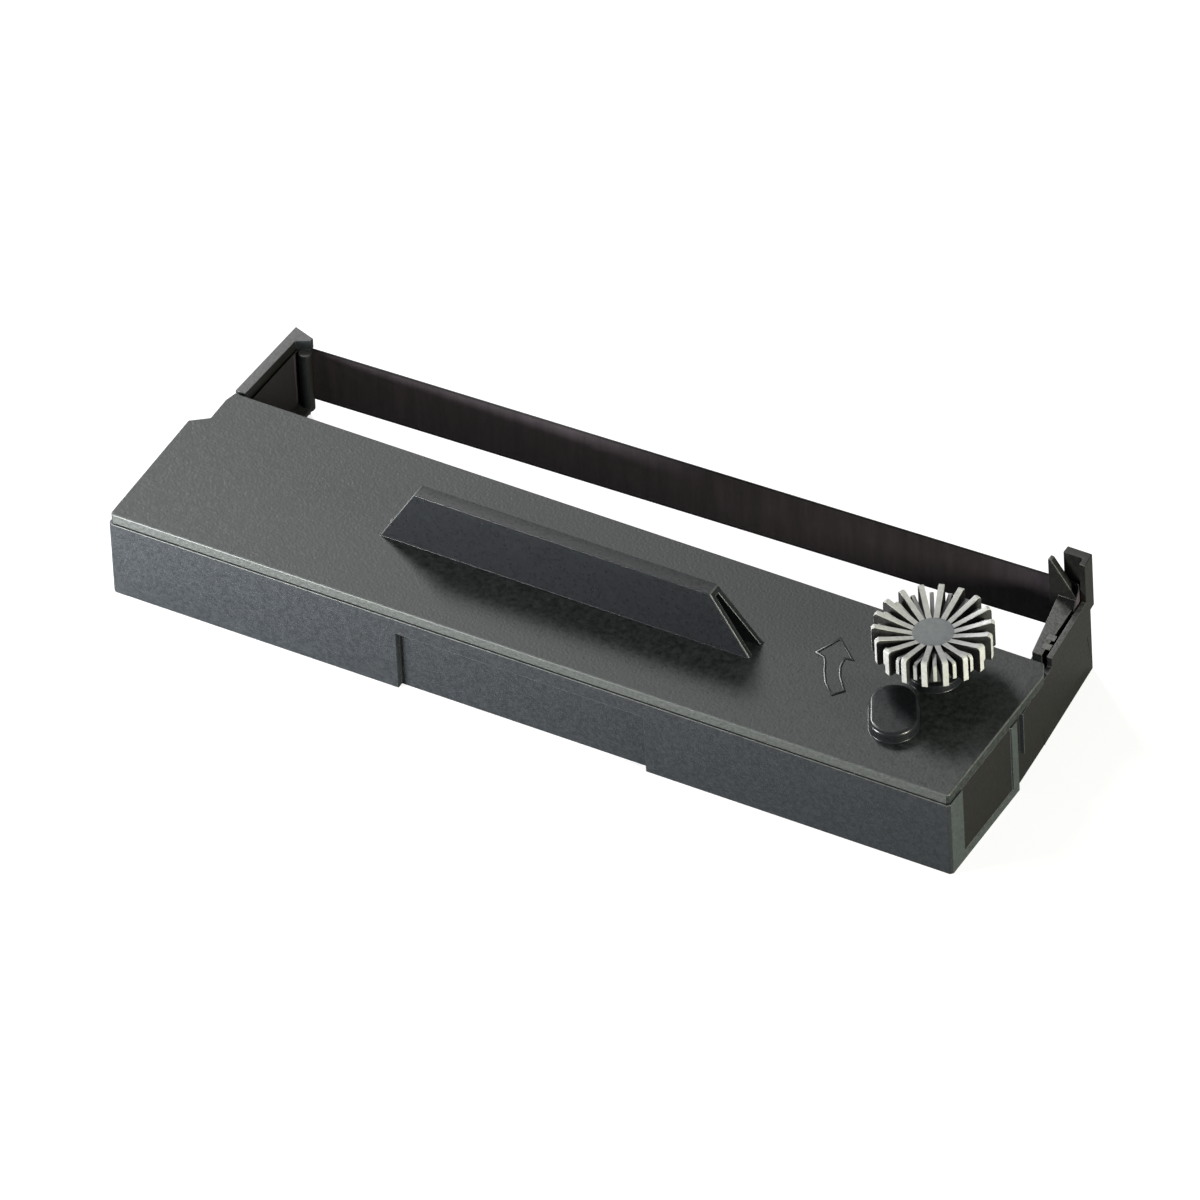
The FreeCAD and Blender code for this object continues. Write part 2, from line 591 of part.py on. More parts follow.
pad(cover, outlines(cover, "plate", [plan(COVER_OUTLINE)], lift=CASE_TOP), "dim.cover_thickness")


def is_top_rim(edge):
    high = number(BODY_HEIGHT)
    return all(abs(vertex.Z - high) < number("dim.cover_gap") for vertex in edge.Vertexes)


soften(cover, "Fillet", "plate_rim", edges_where(cover, is_top_rim), "Radius", "dim.edge_softening")

TAB_LENGTH = "4 * dim.wall"
TAB_FRONT = "dim.wall + dim.running_gap"
TAB_BACK = f"{INNER_BACK} - dim.running_gap"
TABS = []
for place in ("dim.recess_start / 2", f"{RECESS_END} + 4 * dim.wall"):
    tab_end = f"{place} + {TAB_LENGTH}"
    TABS.append(plan(rectangle(place, TAB_FRONT, tab_end, "dim.wall + dim.carrier_plate")))
    TABS.append(plan(rectangle(place, f"{TAB_BACK} - dim.carrier_plate", tab_end, TAB_BACK)))
pad(cover, outlines(cover, "tabs", TABS, lift=f"{CASE_TOP} - dim.wall"), "dim.wall")

GRIP_SIDE = [
    (along("dim.grip_start"), f"{BODY_HEIGHT} - dim.cover_thickness / 2"),
    (along("dim.grip_start"), BODY_HEIGHT),
    (along("dim.grip_start + dim.grip_lean"), f"{BODY_HEIGHT} + dim.grip_height"),
    (along(f"{GRIP_END} - dim.grip_lean"), f"{BODY_HEIGHT} + dim.grip_height"),
    (along(GRIP_END), BODY_HEIGHT),
    (along(GRIP_END), f"{BODY_HEIGHT} - dim.cover_thickness / 2"),
]
grip = outlines(cover, "grip", [GRIP_SIDE], role="XZ_Plane", lift=f"-({deep('dim.grip_place')})")
pad(cover, grip, "dim.grip_base").Reversed = True
GRIP_SLOPE = [
    (deep("dim.grip_place + dim.grip_base"), BODY_HEIGHT),
    (deep("dim.grip_place + dim.grip_base + dim.wall"), BODY_HEIGHT),
    (deep("dim.grip_place + dim.grip_base + dim.wall"), f"{BODY_HEIGHT} + dim.grip_height + dim.wall"),
    (deep("dim.grip_place + dim.grip_top"), f"{BODY_HEIGHT} + dim.grip_height + dim.wall"),
    (deep("dim.grip_place + dim.grip_top"), f"{BODY_HEIGHT} + dim.grip_height"),
]
GRIP_LENGTH = f"{GRIP_END} - dim.grip_start"
slope = outlines(cover, "grip_slope", [GRIP_SLOPE], role="YZ_Plane", lift=along("dim.grip_start"))
pocket(cover, slope, GRIP_LENGTH, reverse=True)
HOLLOW_TOP = f"{BODY_HEIGHT} + dim.grip_height - dim.grip_wall"
GRIP_HOLLOW = [
    (deep("dim.grip_place + dim.grip_wall"), BODY_HEIGHT),
    (deep("dim.grip_place + dim.grip_base - dim.grip_wall"), BODY_HEIGHT),
    (deep("dim.grip_place + dim.grip_top - dim.grip_wall"), HOLLOW_TOP),
    (deep("dim.grip_place + dim.grip_wall"), HOLLOW_TOP),
]
hollow = outlines(cover, "grip_hollow", [GRIP_HOLLOW], role="YZ_Plane", lift=along("dim.grip_start"))
pocket(cover, hollow, GRIP_LENGTH, reverse=True)

BOSS_FRONT = (DRIVE_X, deep(f"{IDLER_PLACE} - dim.boss_length"))
BOSS_BACK = (f"{DRIVE_X} - dim.boss_lean", deep(IDLER_PLACE))
boss = stadium(cover, "pin_boss", BOSS_FRONT, BOSS_BACK, "dim.boss_radius",
               lift=f"{BODY_HEIGHT} - dim.cover_thickness / 2")
pad(cover, boss, "dim.boss_height + dim.cover_thickness / 2")


def is_boss_rim(edge):
    high = number(f"{BODY_HEIGHT} + dim.boss_height")
    return all(abs(vertex.Z - high) < number("dim.cover_gap") for vertex in edge.Vertexes)


soften(cover, "Fillet", "boss_rim", edges_where(cover, is_boss_rim), "Radius", "2 * dim.edge_softening")
PIN_SLOT = "dim.pin_radius + dim.running_gap"
PIN_FRONT = (DRIVE_X, deep(f"{IDLER_PLACE} - dim.idler_travel - dim.cover_gap"))
PIN_REST = (DRIVE_X, deep(IDLER_PLACE))
pin_slot = stadium(cover, "pin_slot", PIN_FRONT, PIN_REST, PIN_SLOT, lift=CASE_TOP)
pocket(cover, pin_slot, "dim.cover_thickness + dim.boss_height - dim.boss_wall", reverse=True)
bearing = circles(cover, "bearing", [(*DRIVE, "dim.bearing_radius")],
                  lift=f"{BODY_HEIGHT} - dim.cover_thickness / 2")
pad(cover, bearing, "dim.bearing_height + dim.cover_thickness / 2")
bearing_hole = circles(cover, "bearing_hole", [(*DRIVE, "dim.shaft_radius + dim.running_gap")],
                       lift=f"{BODY_HEIGHT} + dim.bearing_height")
pocket(cover, bearing_hole, "dim.cover_thickness + dim.bearing_height")


# Turned and toothed pieces: each has its own axis as origin and is placed on it
def new_turned_body(label, x, y):
    body = new_body(label)
    body.setExpression("Placement.Base.x", x)
    body.setExpression("Placement.Base.y", y)
    return body


def turned(body, name, profile):
    """Revolve a profile of radius and height pairs about the piece's own axis."""
    sketch = outlines(body, name, [profile], role="XZ_Plane")
    feature = body.newObject("PartDesign::Revolution", name + "_turned")
    feature.Profile = sketch
    feature.ReferenceAxis = (sketch, ["V_Axis"])
    feature.Angle = 360
    return feature


def around(body, feature, count):
    """Repeat a feature evenly about the piece's own axis."""
    axis = next(item for item in body.Origin.OriginFeatures if item.Role == "Z_Axis")
    pattern = body.newObject("PartDesign::PolarPattern", feature.Name + "_pattern")
    pattern.Originals = [feature]
    pattern.Axis = (axis, [""])
    pattern.Angle = 360
    pattern.setExpression("Occurrences", count)
    body.Tip = pattern
    return pattern


def cut_teeth(body):
    """Flat-bottomed gaps between the teeth, from end to end of the wheel."""
    root = "dim.roller_radius - dim.roller_tooth"
    crest = "dim.roller_radius + dim.roller_tooth"
    quarter = "dim.roller_radius * 90deg / 1rad / dim.roller_teeth"
    gap = [
        (root, f"-({quarter})"),
        (crest, f"-2 * ({quarter})"),
        (crest, f"2 * ({quarter})"),
        (root, quarter),
    ]
    tooth_gap = outlines(body, f"{body.Name}_gap", [gap], lift=ROLLER_HIGH)
    cut = pocket(body, tooth_gap, f"{ROLLER_HIGH} - {ROLLER_LOW}")
    return around(body, cut, "dim.roller_teeth")


def groove_steps():
    """The two stripper grooves, as steps of the wheel's outline from low to high."""
    steps = []
    for level in GROOVE_LEVELS.values():
        steps += [("dim.roller_radius", level),
                  ("dim.roller_groove_radius", level),
                  ("dim.roller_groove_radius", f"{level} + dim.groove_width"),
                  ("dim.roller_radius", f"{level} + dim.groove_width")]
    return steps


# Feed roller: wheel, journals and shaft in one, with the printer's drive socket below
feed = new_turned_body("feed_roller", *DRIVE)
SHAFT_TOP = f"{HUB_TOP} - dim.cover_thickness"
THRUST_RADIUS = "dim.roller_groove_radius + dim.wall"
turned(feed, "feed_outline", [
    ("dim.socket_radius", "dim.thrust_gap"),
    ("dim.journal_radius", "dim.thrust_gap"),
    ("dim.journal_radius", "dim.floor_thickness + dim.thrust_gap"),
    (THRUST_RADIUS, "dim.floor_thickness + dim.thrust_gap"),
    (THRUST_RADIUS, ROLLER_LOW),
    ("dim.roller_radius", ROLLER_LOW),
    *groove_steps(),
    ("dim.roller_radius", ROLLER_HIGH),
    ("dim.journal_radius", ROLLER_HIGH),
    ("dim.journal_radius", f"{CASE_TOP} - dim.thrust_gap"),
    ("dim.shaft_radius", f"{CASE_TOP} - dim.thrust_gap"),
    ("dim.shaft_radius", SHAFT_TOP),
    ("0", SHAFT_TOP),
    ("0", "dim.thrust_gap + dim.socket_depth"),
    ("dim.socket_radius", "dim.thrust_gap + dim.socket_depth"),
])
cut_teeth(feed)
KEY_SLOTS = [
    [("-dim.journal_radius", "-dim.wall / 2"), ("dim.journal_radius", "-dim.wall / 2"),
     ("dim.journal_radius", "dim.wall / 2"), ("-dim.journal_radius", "dim.wall / 2")],
]
key = outlines(feed, "key_slot", KEY_SLOTS, lift="dim.thrust_gap")
pocket(feed, key, "dim.wall", reverse=True)

# Idler roller: the same wheel, bored for its steel pin
idler = new_turned_body("idler_roller", DRIVE_X, deep(IDLER_PLACE))
BORE = "dim.pin_radius + dim.running_gap"
turned(idler, "idler_outline", [
    (BORE, ROLLER_LOW),
    ("dim.roller_radius", ROLLER_LOW),
    *groove_steps(),
    ("dim.roller_radius", ROLLER_HIGH),
    (BORE, ROLLER_HIGH),
])
cut_teeth(idler)

# Idler pin: plain steel rod with slightly rounded ends
pin = new_turned_body("idler_pin", DRIVE_X, deep(IDLER_PLACE))
PIN_LOW = "dim.floor_thickness + dim.thrust_gap"
PIN_HIGH = f"{BODY_HEIGHT} + dim.boss_height - dim.boss_wall - dim.thrust_gap"
PIN_BREAK = "dim.pin_radius / 5"
turned(pin, "pin_outline", [
    ("0", PIN_LOW),
    (f"dim.pin_radius - {PIN_BREAK}", PIN_LOW),
    ("dim.pin_radius", f"{PIN_LOW} + {PIN_BREAK}"),
    ("dim.pin_radius", f"{PIN_HIGH} - {PIN_BREAK}"),
    (f"dim.pin_radius - {PIN_BREAK}", PIN_HIGH),
    ("0", PIN_HIGH),
])

# Idler carrier: a bracket whose two plates hold the pin, with a web and a peg for the spring
carrier = new_turned_body("idler_carrier", DRIVE_X, deep(IDLER_PLACE))
WEB_BACK = "-(dim.roller_radius + dim.wall / 2)"
WEB_FRONT = f"{WEB_BACK} - dim.carrier_plate"
HALF_WIDTH = "dim.carrier_width / 2"
CARRIER_PLATE = [
    (f"-{HALF_WIDTH}", WEB_FRONT),
    (HALF_WIDTH, WEB_FRONT),
    (HALF_WIDTH, "dim.pin_radius"),
    ("dim.pin_radius * 2", "dim.pin_radius * 2.5"),
    ("-dim.pin_radius * 2", "dim.pin_radius * 2.5"),
    (f"-{HALF_WIDTH}", "dim.pin_radius"),
]
LOWER_PLATE = "dim.floor_thickness + dim.thrust_gap"
PLATE_SPAN = f"{CASE_TOP} - dim.floor_thickness - 2 * dim.thrust_gap"
pad(carrier, outlines(carrier, "carrier_plates", [CARRIER_PLATE], lift=LOWER_PLATE), PLATE_SPAN)
WINDOW = [
    (f"-{HALF_WIDTH} - dim.wall", WEB_BACK),
    (f"{HALF_WIDTH} + dim.wall", WEB_BACK),
    (f"{HALF_WIDTH} + dim.wall", "dim.roller_radius"),
    (f"-{HALF_WIDTH} - dim.wall", "dim.roller_radius"),
]
window = outlines(carrier, "carrier_window", [WINDOW], lift=f"{LOWER_PLATE} + dim.carrier_plate")
pocket(carrier, window, f"{PLATE_SPAN} - 2 * dim.carrier_plate", reverse=True)
pin_hole = circles(carrier, "pin_hole", [("0", "0", "dim.pin_radius")], lift=CASE_TOP)
pocket(carrier, pin_hole, CASE_TOP)
carrier_peg = circles(carrier, "carrier_peg", [("0", SPRING_LEVEL, SPRING_PEG)], role="XZ_Plane",
                      lift=f"-({WEB_FRONT})")
pad(carrier, carrier_peg, "dim.wall")

# Advance knob: a hub and sleeve over the shaft, with tall fins and short fins between them
knob = new_turned_body("advance_knob", *DRIVE)
SLEEVE_LOW = f"{BODY_HEIGHT} + dim.bearing_height + dim.thrust_gap"
turned(knob, "knob_hub", [
    ("dim.shaft_radius", SLEEVE_LOW),
    ("dim.knob_hub_radius + dim.edge_softening", SLEEVE_LOW),
    ("dim.knob_hub_radius", KNOB_LOW),
    ("dim.knob_hub_radius", HUB_TOP),
    ("0", HUB_TOP),
    ("0", SHAFT_TOP),
    ("dim.shaft_radius", SHAFT_TOP),
])


def fins(name, reach, low, top, thickness, start):
    """One upright fin whose top rises outwards and ends in a rounded corner, repeated about the axis."""
    inner = "dim.shaft_radius + dim.edge_softening"
    profile = [
        (inner, low),
        (f"{reach} - dim.edge_softening", low),
        (reach, f"{low} + dim.edge_softening"),
        (reach, f"{top} - dim.fin_corner"),
        (f"{reach} - dim.fin_corner / 3", f"{top} - dim.fin_corner / 3"),
        (f"{reach} - dim.fin_corner", top),
        ("dim.knob_hub_radius", f"{HUB_TOP} + {top} - {RIM_TOP}"),
        (inner, f"{HUB_TOP} + {top} - {RIM_TOP}"),
    ]
    sketch = outlines(knob, name, [profile], role="XZ_Plane")
    turn_sketch(sketch, start)
    return pad(knob, sketch, thickness, both_ways=True)


long_fin = fins("long_fin", "dim.knob_radius", KNOB_LOW, RIM_TOP, "dim.fin_thickness",
                "180deg / dim.knob_fins")
around(knob, long_fin, "dim.knob_fins")
SHORT_TOP = f"{RIM_TOP} - dim.short_fin_drop"
SHORT_LOW = f"{KNOB_LOW} + dim.short_fin_drop / 2"
short_fin = fins("short_fin", "dim.short_fin_radius", SHORT_LOW, SHORT_TOP, "dim.short_fin_thickness", "0deg")
around(knob, short_fin, "dim.knob_fins")


# Thin strips that stand on edge, as the ribbon and the leaf spring do
def run(length, rise=0.0):
    return ("run", length, rise)


def turn(radius, degrees):
    return ("turn", radius, degrees)


def standing_strip(start, heading, moves, width, thickness):
    """Solid strip that follows straight runs and left-hand turns; start is its lower edge's middle."""
    place = FreeCAD.Vector(start)
    pieces = []
    for kind, amount, change in moves:
        angle = math.radians(heading)
        ahead = FreeCAD.Vector(math.cos(angle), math.sin(angle), 0)
        left = UP.cross(ahead)
        near = place - left * thickness / 2
        up = UP * width
        if kind == "run":
            far = ahead * amount + UP * change
            corners = [near, near + far, near + far + up, near + up, near]
            pieces.append(Part.Face(Part.makePolygon(corners)).extrude(left * thickness))
            place = place + far
        else:
            across = left * thickness
            corners = [near, near + across, near + across + up, near + up, near]
            centre = place + left * amount
            pieces.append(Part.Face(Part.makePolygon(corners)).revolve(centre, UP, change))
            heading += change
            angle = math.radians(heading)
            place = centre + FreeCAD.Vector(math.sin(angle), -math.cos(angle), 0) * amount
    return pieces[0].multiFuse(pieces[1:]).removeSplitter()


def new_piece(label, shape):
    piece = doc.addObject("Part::Feature", label)
    piece.Label = label
    piece.Shape = shape
    return piece


def spot(a, b, level="0"):
    return FreeCAD.Vector(number(along(a)), number(deep(b)), number(level))


def taut_moves(guides, start, finish, lows):
    """Runs and turns of a strip pulled round guides in turn, each a centre and a strip radius.

    It sets out along +X, passes the guides on its left and ends along +X again.
    """
    moves = []
    heading = 0.0
    place = start
    for index, (centre, radius) in enumerate(guides):
        angle = math.radians(heading)
        touch = centre + FreeCAD.Vector(math.sin(angle), -math.cos(angle), 0) * radius
        moves.append(run((touch - place).Length, lows[index + 1] - lows[index]))
        following = 360.0
        if index + 1 < len(guides):
            next_centre, next_radius = guides[index + 1]
            reach = next_centre - centre
            cross = math.asin((radius - next_radius) / reach.Length)
            following = math.degrees(math.atan2(reach.y, reach.x) + cross) % 360
        moves.append(turn(radius, following - heading))
        heading = following
        angle = math.radians(heading)
        place = centre + FreeCAD.Vector(math.sin(angle), -math.cos(angle), 0) * radius
    moves.append(run(finish.x - place.x, lows[-1] - lows[-2]))
    return moves


# Ribbon folds: the packed rest of the endless ribbon, standing on the tray's floor
FOLD_LEFT = f"{EXIT_GUIDE[0]} + dim.guide_radius + dim.fold_margin"
FOLD_RIGHT = f"{DIVIDER} - dim.fold_margin"
FOLD_FRONT = f"{BUMP} + 2 * dim.fold_margin"
FOLD_BACK = f"{LEAF_ROW} - dim.leaf_thickness - dim.wall - 2 * dim.fold_margin"
FOLD_LOW = "dim.floor_thickness + dim.ribbon_gap"


def packed_folds():
    """One solid whose front and back show the bends of the folds, each with a flat crest."""
    left_front = spot(FOLD_LEFT, FOLD_FRONT, FOLD_LOW)
    right_back = spot(FOLD_RIGHT, FOLD_BACK, FOLD_LOW)
    count = round((right_back.x - left_front.x) / number("dim.fold_pitch"))
    pitch = FreeCAD.Vector((right_back.x - left_front.x) / count, 0, 0)
    bulge = FreeCAD.Vector(0, number("dim.fold_margin"), 0)
    corners = []
    for start, step, outward in ((left_front, pitch, -bulge), (right_back, -pitch, bulge)):
        for i in range(count):
            valley = start + step * i
            corners += [valley, valley + step / 4 + outward, valley + step * 3 / 4 + outward]
        corners.append(start + step * count)
    outline = Part.makePolygon(corners + corners[:1])
    return Part.Face(outline).extrude(UP * number("dim.ribbon_width"))


new_piece("ribbon_folds", packed_folds())

# Ribbon: out of the folds, through the nip, up the right arm, across, and down the left arm
RIBBON_RADIUS = number(RIBBON_OFFSET)
ribbon_guides = [
    (spot(*GUIDE), number("dim.guide_radius") + RIBBON_RADIUS),
    (spot(*RIGHT_TURN), number("dim.left_post_radius") + RIBBON_RADIUS),
    (spot("dim.left_post_inset", TIP_CENTRE), number("dim.left_post_radius") + RIBBON_RADIUS),
    (spot(*EXIT_GUIDE), number("dim.guide_radius") + RIBBON_RADIUS),
]
EXIT_LOW = "dim.left_floor_low + dim.left_floor_thickness + 2 * dim.ribbon_gap"
ribbon_lows = [number(level) for level in ("dim.ribbon_low", "dim.ribbon_low", "dim.ribbon_low_right",
                                           "dim.ribbon_low_left", EXIT_LOW, "dim.ribbon_low")]
ribbon_start = spot(FOLD_RIGHT, NIP)
ribbon_moves = taut_moves(ribbon_guides, ribbon_start, spot(FOLD_LEFT, NIP), ribbon_lows)
# The cover holds the ribbon down as far as the tray's back wall, from there it climbs to the ear
arm_run = ribbon_moves[2][1]
arm_climb = arm_run * number(f"({TIP_CENTRE} - {BODY_DEPTH}) / ({TIP_CENTRE} - ({GUIDE_PLACE}))")
lid_low = number(f"{CASE_TOP} - 2 * dim.ribbon_gap - dim.ribbon_width")
ribbon_moves[2:3] = [
    run(arm_run - arm_climb, lid_low - ribbon_lows[1]),
    run(arm_climb, ribbon_lows[2] - lid_low),
]
ribbon_shape = standing_strip(ribbon_start + UP * ribbon_lows[0], 0.0, ribbon_moves,
                              number("dim.ribbon_width"), number("dim.ribbon_thickness"))
new_piece("ribbon", ribbon_shape)

# Tension pad: felt block on the wall beside the chamber's exit
tension_pad = doc.addObject("Part::Box", "tension_pad")
tension_pad.Label = "tension_pad"
tension_pad.setExpression("Length", "dim.pad_thickness")
tension_pad.setExpression("Width", "dim.pad_length")
tension_pad.setExpression("Height", f"{INNER_HEIGHT} - dim.wall")
tension_pad.setExpression("Placement.Base.x", along(PAD_LEFT))
tension_pad.setExpression("Placement.Base.y", f"{deep(INNER_BACK)} - dim.pad_length - dim.ribbon_gap")
tension_pad.setExpression("Placement.Base.z", "dim.floor_thickness")

# Tension spring: a steel leaf held between two ribs, curled against the ribbon
LEAF_BEND = "dim.wall"
leaf_end = f"{LEAF_START} + 4 * dim.wall"
leaf_bend_x = f"{EXIT_GUIDE[0]} - dim.guide_radius + {LEAF_BEND} + dim.leaf_thickness + dim.ribbon_gap"
leaf_low = f"({SPRING_LEVEL}) - dim.leaf_width / 2"
bend = number(LEAF_BEND)
leaf_moves = [
    run(number(f"{leaf_end} - ({leaf_bend_x})")),
    turn(bend, 95),
    run(bend / 2),
    turn(bend / 2, 120),
]
leaf_shape = standing_strip(spot(leaf_end, LEAF_ROW, leaf_low), 180.0, leaf_moves,
                            number("dim.leaf_width"), number("dim.leaf_thickness"))
new_piece("tension_spring", leaf_shape)


# Idler spring: a wire coil between the front wall's peg and the carrier's peg
def coil(radius, wire, length, turns):
    """Wire wound along Z, its section a hexagon, with the first turn's middle at the origin."""
    height = length - wire
    helix = Part.makeHelix(height / turns, height, radius)
    corners = []
    for i in range(7):
        angle = math.radians(60 * i)
        corners.append(FreeCAD.Vector(radius + wire / 2 * math.cos(angle), 0, wire / 2 * math.sin(angle)))
    return Part.Wire(helix).makePipeShell([Part.makePolygon(corners)], True, True)


spring_front = f"{deep('dim.wall')} + dim.ribbon_gap"
spring_back = f"{deep(IDLER_PLACE)} + {WEB_FRONT} - dim.ribbon_gap"
spring = new_piece("idler_spring", coil(
    number("dim.spring_radius - dim.spring_wire / 2"), number("dim.spring_wire"),
    number(f"{spring_back} - ({spring_front})"), number("dim.spring_turns")))
first_turn = f"{spring_front} + dim.spring_wire / 2"
spring_place = FreeCAD.Vector(number(DRIVE_X), number(first_turn), number(SPRING_LEVEL))
along_y = FreeCAD.Rotation(FreeCAD.Vector(1, 0, 0), -90)
spring.Placement = FreeCAD.Placement(spring_place, along_y)

# Check every object, then write each piece
doc.recompute()
failed = [item.Name for item in doc.Objects if "Invalid" in item.State or "Error" in item.State]
if failed:
    raise RuntimeError(f"these objects failed: {failed}")
PIECES = [
    "bottom_case", "top_cover", "advance_knob", "feed_roller", "idler_roller", "idler_pin",
    "idler_carrier", "idler_spring", "ribbon", "ribbon_folds", "tension_pad", "tension_spring",
]
os.makedirs(NODE_FOLDER, exist_ok=True)
for label in PIECES:
    shape = doc.getObjectsByLabel(label)[0].Shape
    if shape.isNull() or not shape.isValid() or len(shape.Solids) != 1:
        raise RuntimeError(f"{label} is not one sound solid")
    shape.exportStep(f"{NODE_FOLDER}/{label}.step")
    print(f"{label}: {shape.Volume:.1f} cubic mm")
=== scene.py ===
import math

import bpy
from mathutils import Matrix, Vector, noise


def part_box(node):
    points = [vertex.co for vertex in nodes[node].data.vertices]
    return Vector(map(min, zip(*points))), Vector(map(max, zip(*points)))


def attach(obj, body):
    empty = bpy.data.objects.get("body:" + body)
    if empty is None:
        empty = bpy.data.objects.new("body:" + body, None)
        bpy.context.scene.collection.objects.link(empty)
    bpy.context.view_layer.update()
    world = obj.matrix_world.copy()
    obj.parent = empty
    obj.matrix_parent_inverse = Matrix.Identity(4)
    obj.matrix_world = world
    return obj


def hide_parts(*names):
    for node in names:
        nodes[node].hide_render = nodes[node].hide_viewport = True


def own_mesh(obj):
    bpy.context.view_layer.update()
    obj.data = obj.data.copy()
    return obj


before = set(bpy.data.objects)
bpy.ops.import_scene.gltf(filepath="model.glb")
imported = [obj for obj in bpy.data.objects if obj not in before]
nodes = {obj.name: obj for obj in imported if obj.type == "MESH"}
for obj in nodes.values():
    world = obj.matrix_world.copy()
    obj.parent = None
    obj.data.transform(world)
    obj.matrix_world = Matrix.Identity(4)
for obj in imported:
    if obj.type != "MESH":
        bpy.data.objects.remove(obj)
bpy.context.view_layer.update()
scene = bpy.context.scene
MM = 0.001

# Photograph's viewpoint
# A long lens about four metres off, to the right of the knob end and well above the table.
camera_data = bpy.data.cameras.new("photo_camera")
camera_data.sensor_fit = "HORIZONTAL"
camera_data.sensor_width = 36
camera_data.lens = 723.91
camera_data.clip_end = 20
camera = bpy.data.objects.new("photo_camera", camera_data)
camera.location = (1.55135, -2.56970, 2.65076)
camera.rotation_euler = [math.radians(angle) for angle in (48.58627, 2.41353, 29.02033)]
scene.collection.objects.link(camera)
scene.camera = camera
scene.view_settings.view_transform = "Standard"

# Studio light
# A softbox behind and to the left throws the knob's and the grip's shadows to the front. A small one
# near the left end lights the front wall, which darkens away from it, a warm one lights the right end,
# and an overhead one fills in.


def softbox(name, place, size, watts, aim=(0, 0, 0.01)):
    light = bpy.data.lights.new(name, "AREA")
    light.shape = "RECTANGLE"
    light.size, light.size_y = size
    light.energy = watts
    lamp = bpy.data.objects.new(name, light)
    lamp.location = place
    lamp.rotation_euler = (Vector(aim) - Vector(place)).to_track_quat("-Z", "Y").to_euler()
    scene.collection.objects.link(lamp)
    return lamp


softbox("key_softbox", (-0.72, 0.52, 0.78), (0.3, 0.3), 10.3)
softbox("overhead_softbox", (-0.1, 0.2, 1.1), (1.0, 0.7), 0.5)
softbox("left_end_softbox", (-0.17, -0.2, 0.035), (0.12, 0.04), 1.5, aim=(-0.05, -0.02, 0.01))
right_end = softbox("right_end_softbox", (0.6, -0.12, 0.12), (0.2, 0.12), 4.5, aim=(0.07, 0, 0.01))
right_end.data.color = (1, 0.98, 0.84)

world = bpy.data.worlds.new("white_studio")
scene.world = world
world.use_nodes = True
tree = world.node_tree
tree.nodes.clear()
rays = tree.nodes.new("ShaderNodeLightPath")
seen = tree.nodes.new("ShaderNodeMath")
seen.operation = "MAXIMUM"
tree.links.new(rays.outputs["Is Camera Ray"], seen.inputs[0])
tree.links.new(rays.outputs["Is Transmission Ray"], seen.inputs[1])
mirrored = tree.nodes.new("ShaderNodeMath")
mirrored.operation = "MULTIPLY_ADD"
mirrored.inputs[1].default_value = 0.15
tree.links.new(rays.outputs["Is Glossy Ray"], mirrored.inputs[0])
tree.links.new(seen.outputs["Value"], mirrored.inputs[2])
backdrop = tree.nodes.new("ShaderNodeBackground")
backdrop.inputs["Color"].default_value = (1, 1, 1, 1)
backdrop.inputs["Strength"].default_value = 1
ambient = tree.nodes.new("ShaderNodeBackground")
ambient.inputs["Color"].default_value = (0.95, 0.97, 1, 1)
ambient.inputs["Strength"].default_value = 0.06
choice = tree.nodes.new("ShaderNodeMixShader")
tree.links.new(mirrored.outputs["Value"], choice.inputs["Fac"])
tree.links.new(ambient.outputs["Background"], choice.inputs[1])
tree.links.new(backdrop.outputs["Background"], choice.inputs[2])
world_out = tree.nodes.new("ShaderNodeOutputWorld")
tree.links.new(choice.outputs["Shader"], world_out.inputs["Surface"])

# Table top
# A plain white sheet under the cartridge, which shows only the soft shadow.
bpy.ops.object.select_all(action="DESELECT")
bpy.ops.mesh.primitive_plane_add(size=6)
table = bpy.context.object
table.name = "table_top"
white = bpy.data.materials.new("white_table")
white.use_nodes = True
tree = white.node_tree
surface = tree.nodes["Principled BSDF"]
surface.inputs["Base Color"].default_value = (0.4, 0.4, 0.4, 1)
surface.inputs["Roughness"].default_value = 0.9
surface.inputs["Emission Color"].default_value = (1, 1, 1, 1)
rays = tree.nodes.new("ShaderNodeLightPath")
glow = tree.nodes.new("ShaderNodeMath")
glow.operation = "MULTIPLY"
glow.inputs[1].default_value = 0.8
tree.links.new(rays.outputs["Is Camera Ray"], glow.inputs[0])
tree.links.new(glow.outputs["Value"], surface.inputs["Emission Strength"])
table.data.materials.append(white)

# Bottom case
# The tray with both ribbon arms is one moulding in black polystyrene. The mould's walls were spark
# eroded, which leaves a fine satin grain, and every outer edge has a small radius.


def deselect():
    if bpy.context.object and bpy.context.object.mode != "OBJECT":
        bpy.ops.object.mode_set(mode="OBJECT")
    bpy.ops.object.select_all(action="DESELECT")


def activate(piece):
    deselect()
    piece.select_set(True)
    bpy.context.view_layer.objects.active = piece


def edit(piece):
    activate(piece)
    bpy.ops.object.mode_set(mode="EDIT")


def rounded(piece, width, angle=30, clamp=True):
    """Round the edges that turn by more than the angle in degrees, in two steps."""
    rounding = piece.modifiers.new("rounded_edges", "BEVEL")
    rounding.width = width
    rounding.segments = 2
    rounding.limit_method = "ANGLE"
    rounding.angle_limit = math.radians(angle)
    rounding.use_clamp_overlap = clamp
    bpy.ops.object.modifier_apply(modifier=rounding.name)


def mount(piece, body, slot, *stands_for):
    """Attach the piece to its body and hide the CAD nodes that it stands for. The slot is not used."""
    if stands_for:
        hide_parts(*stands_for)
    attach(piece, body)


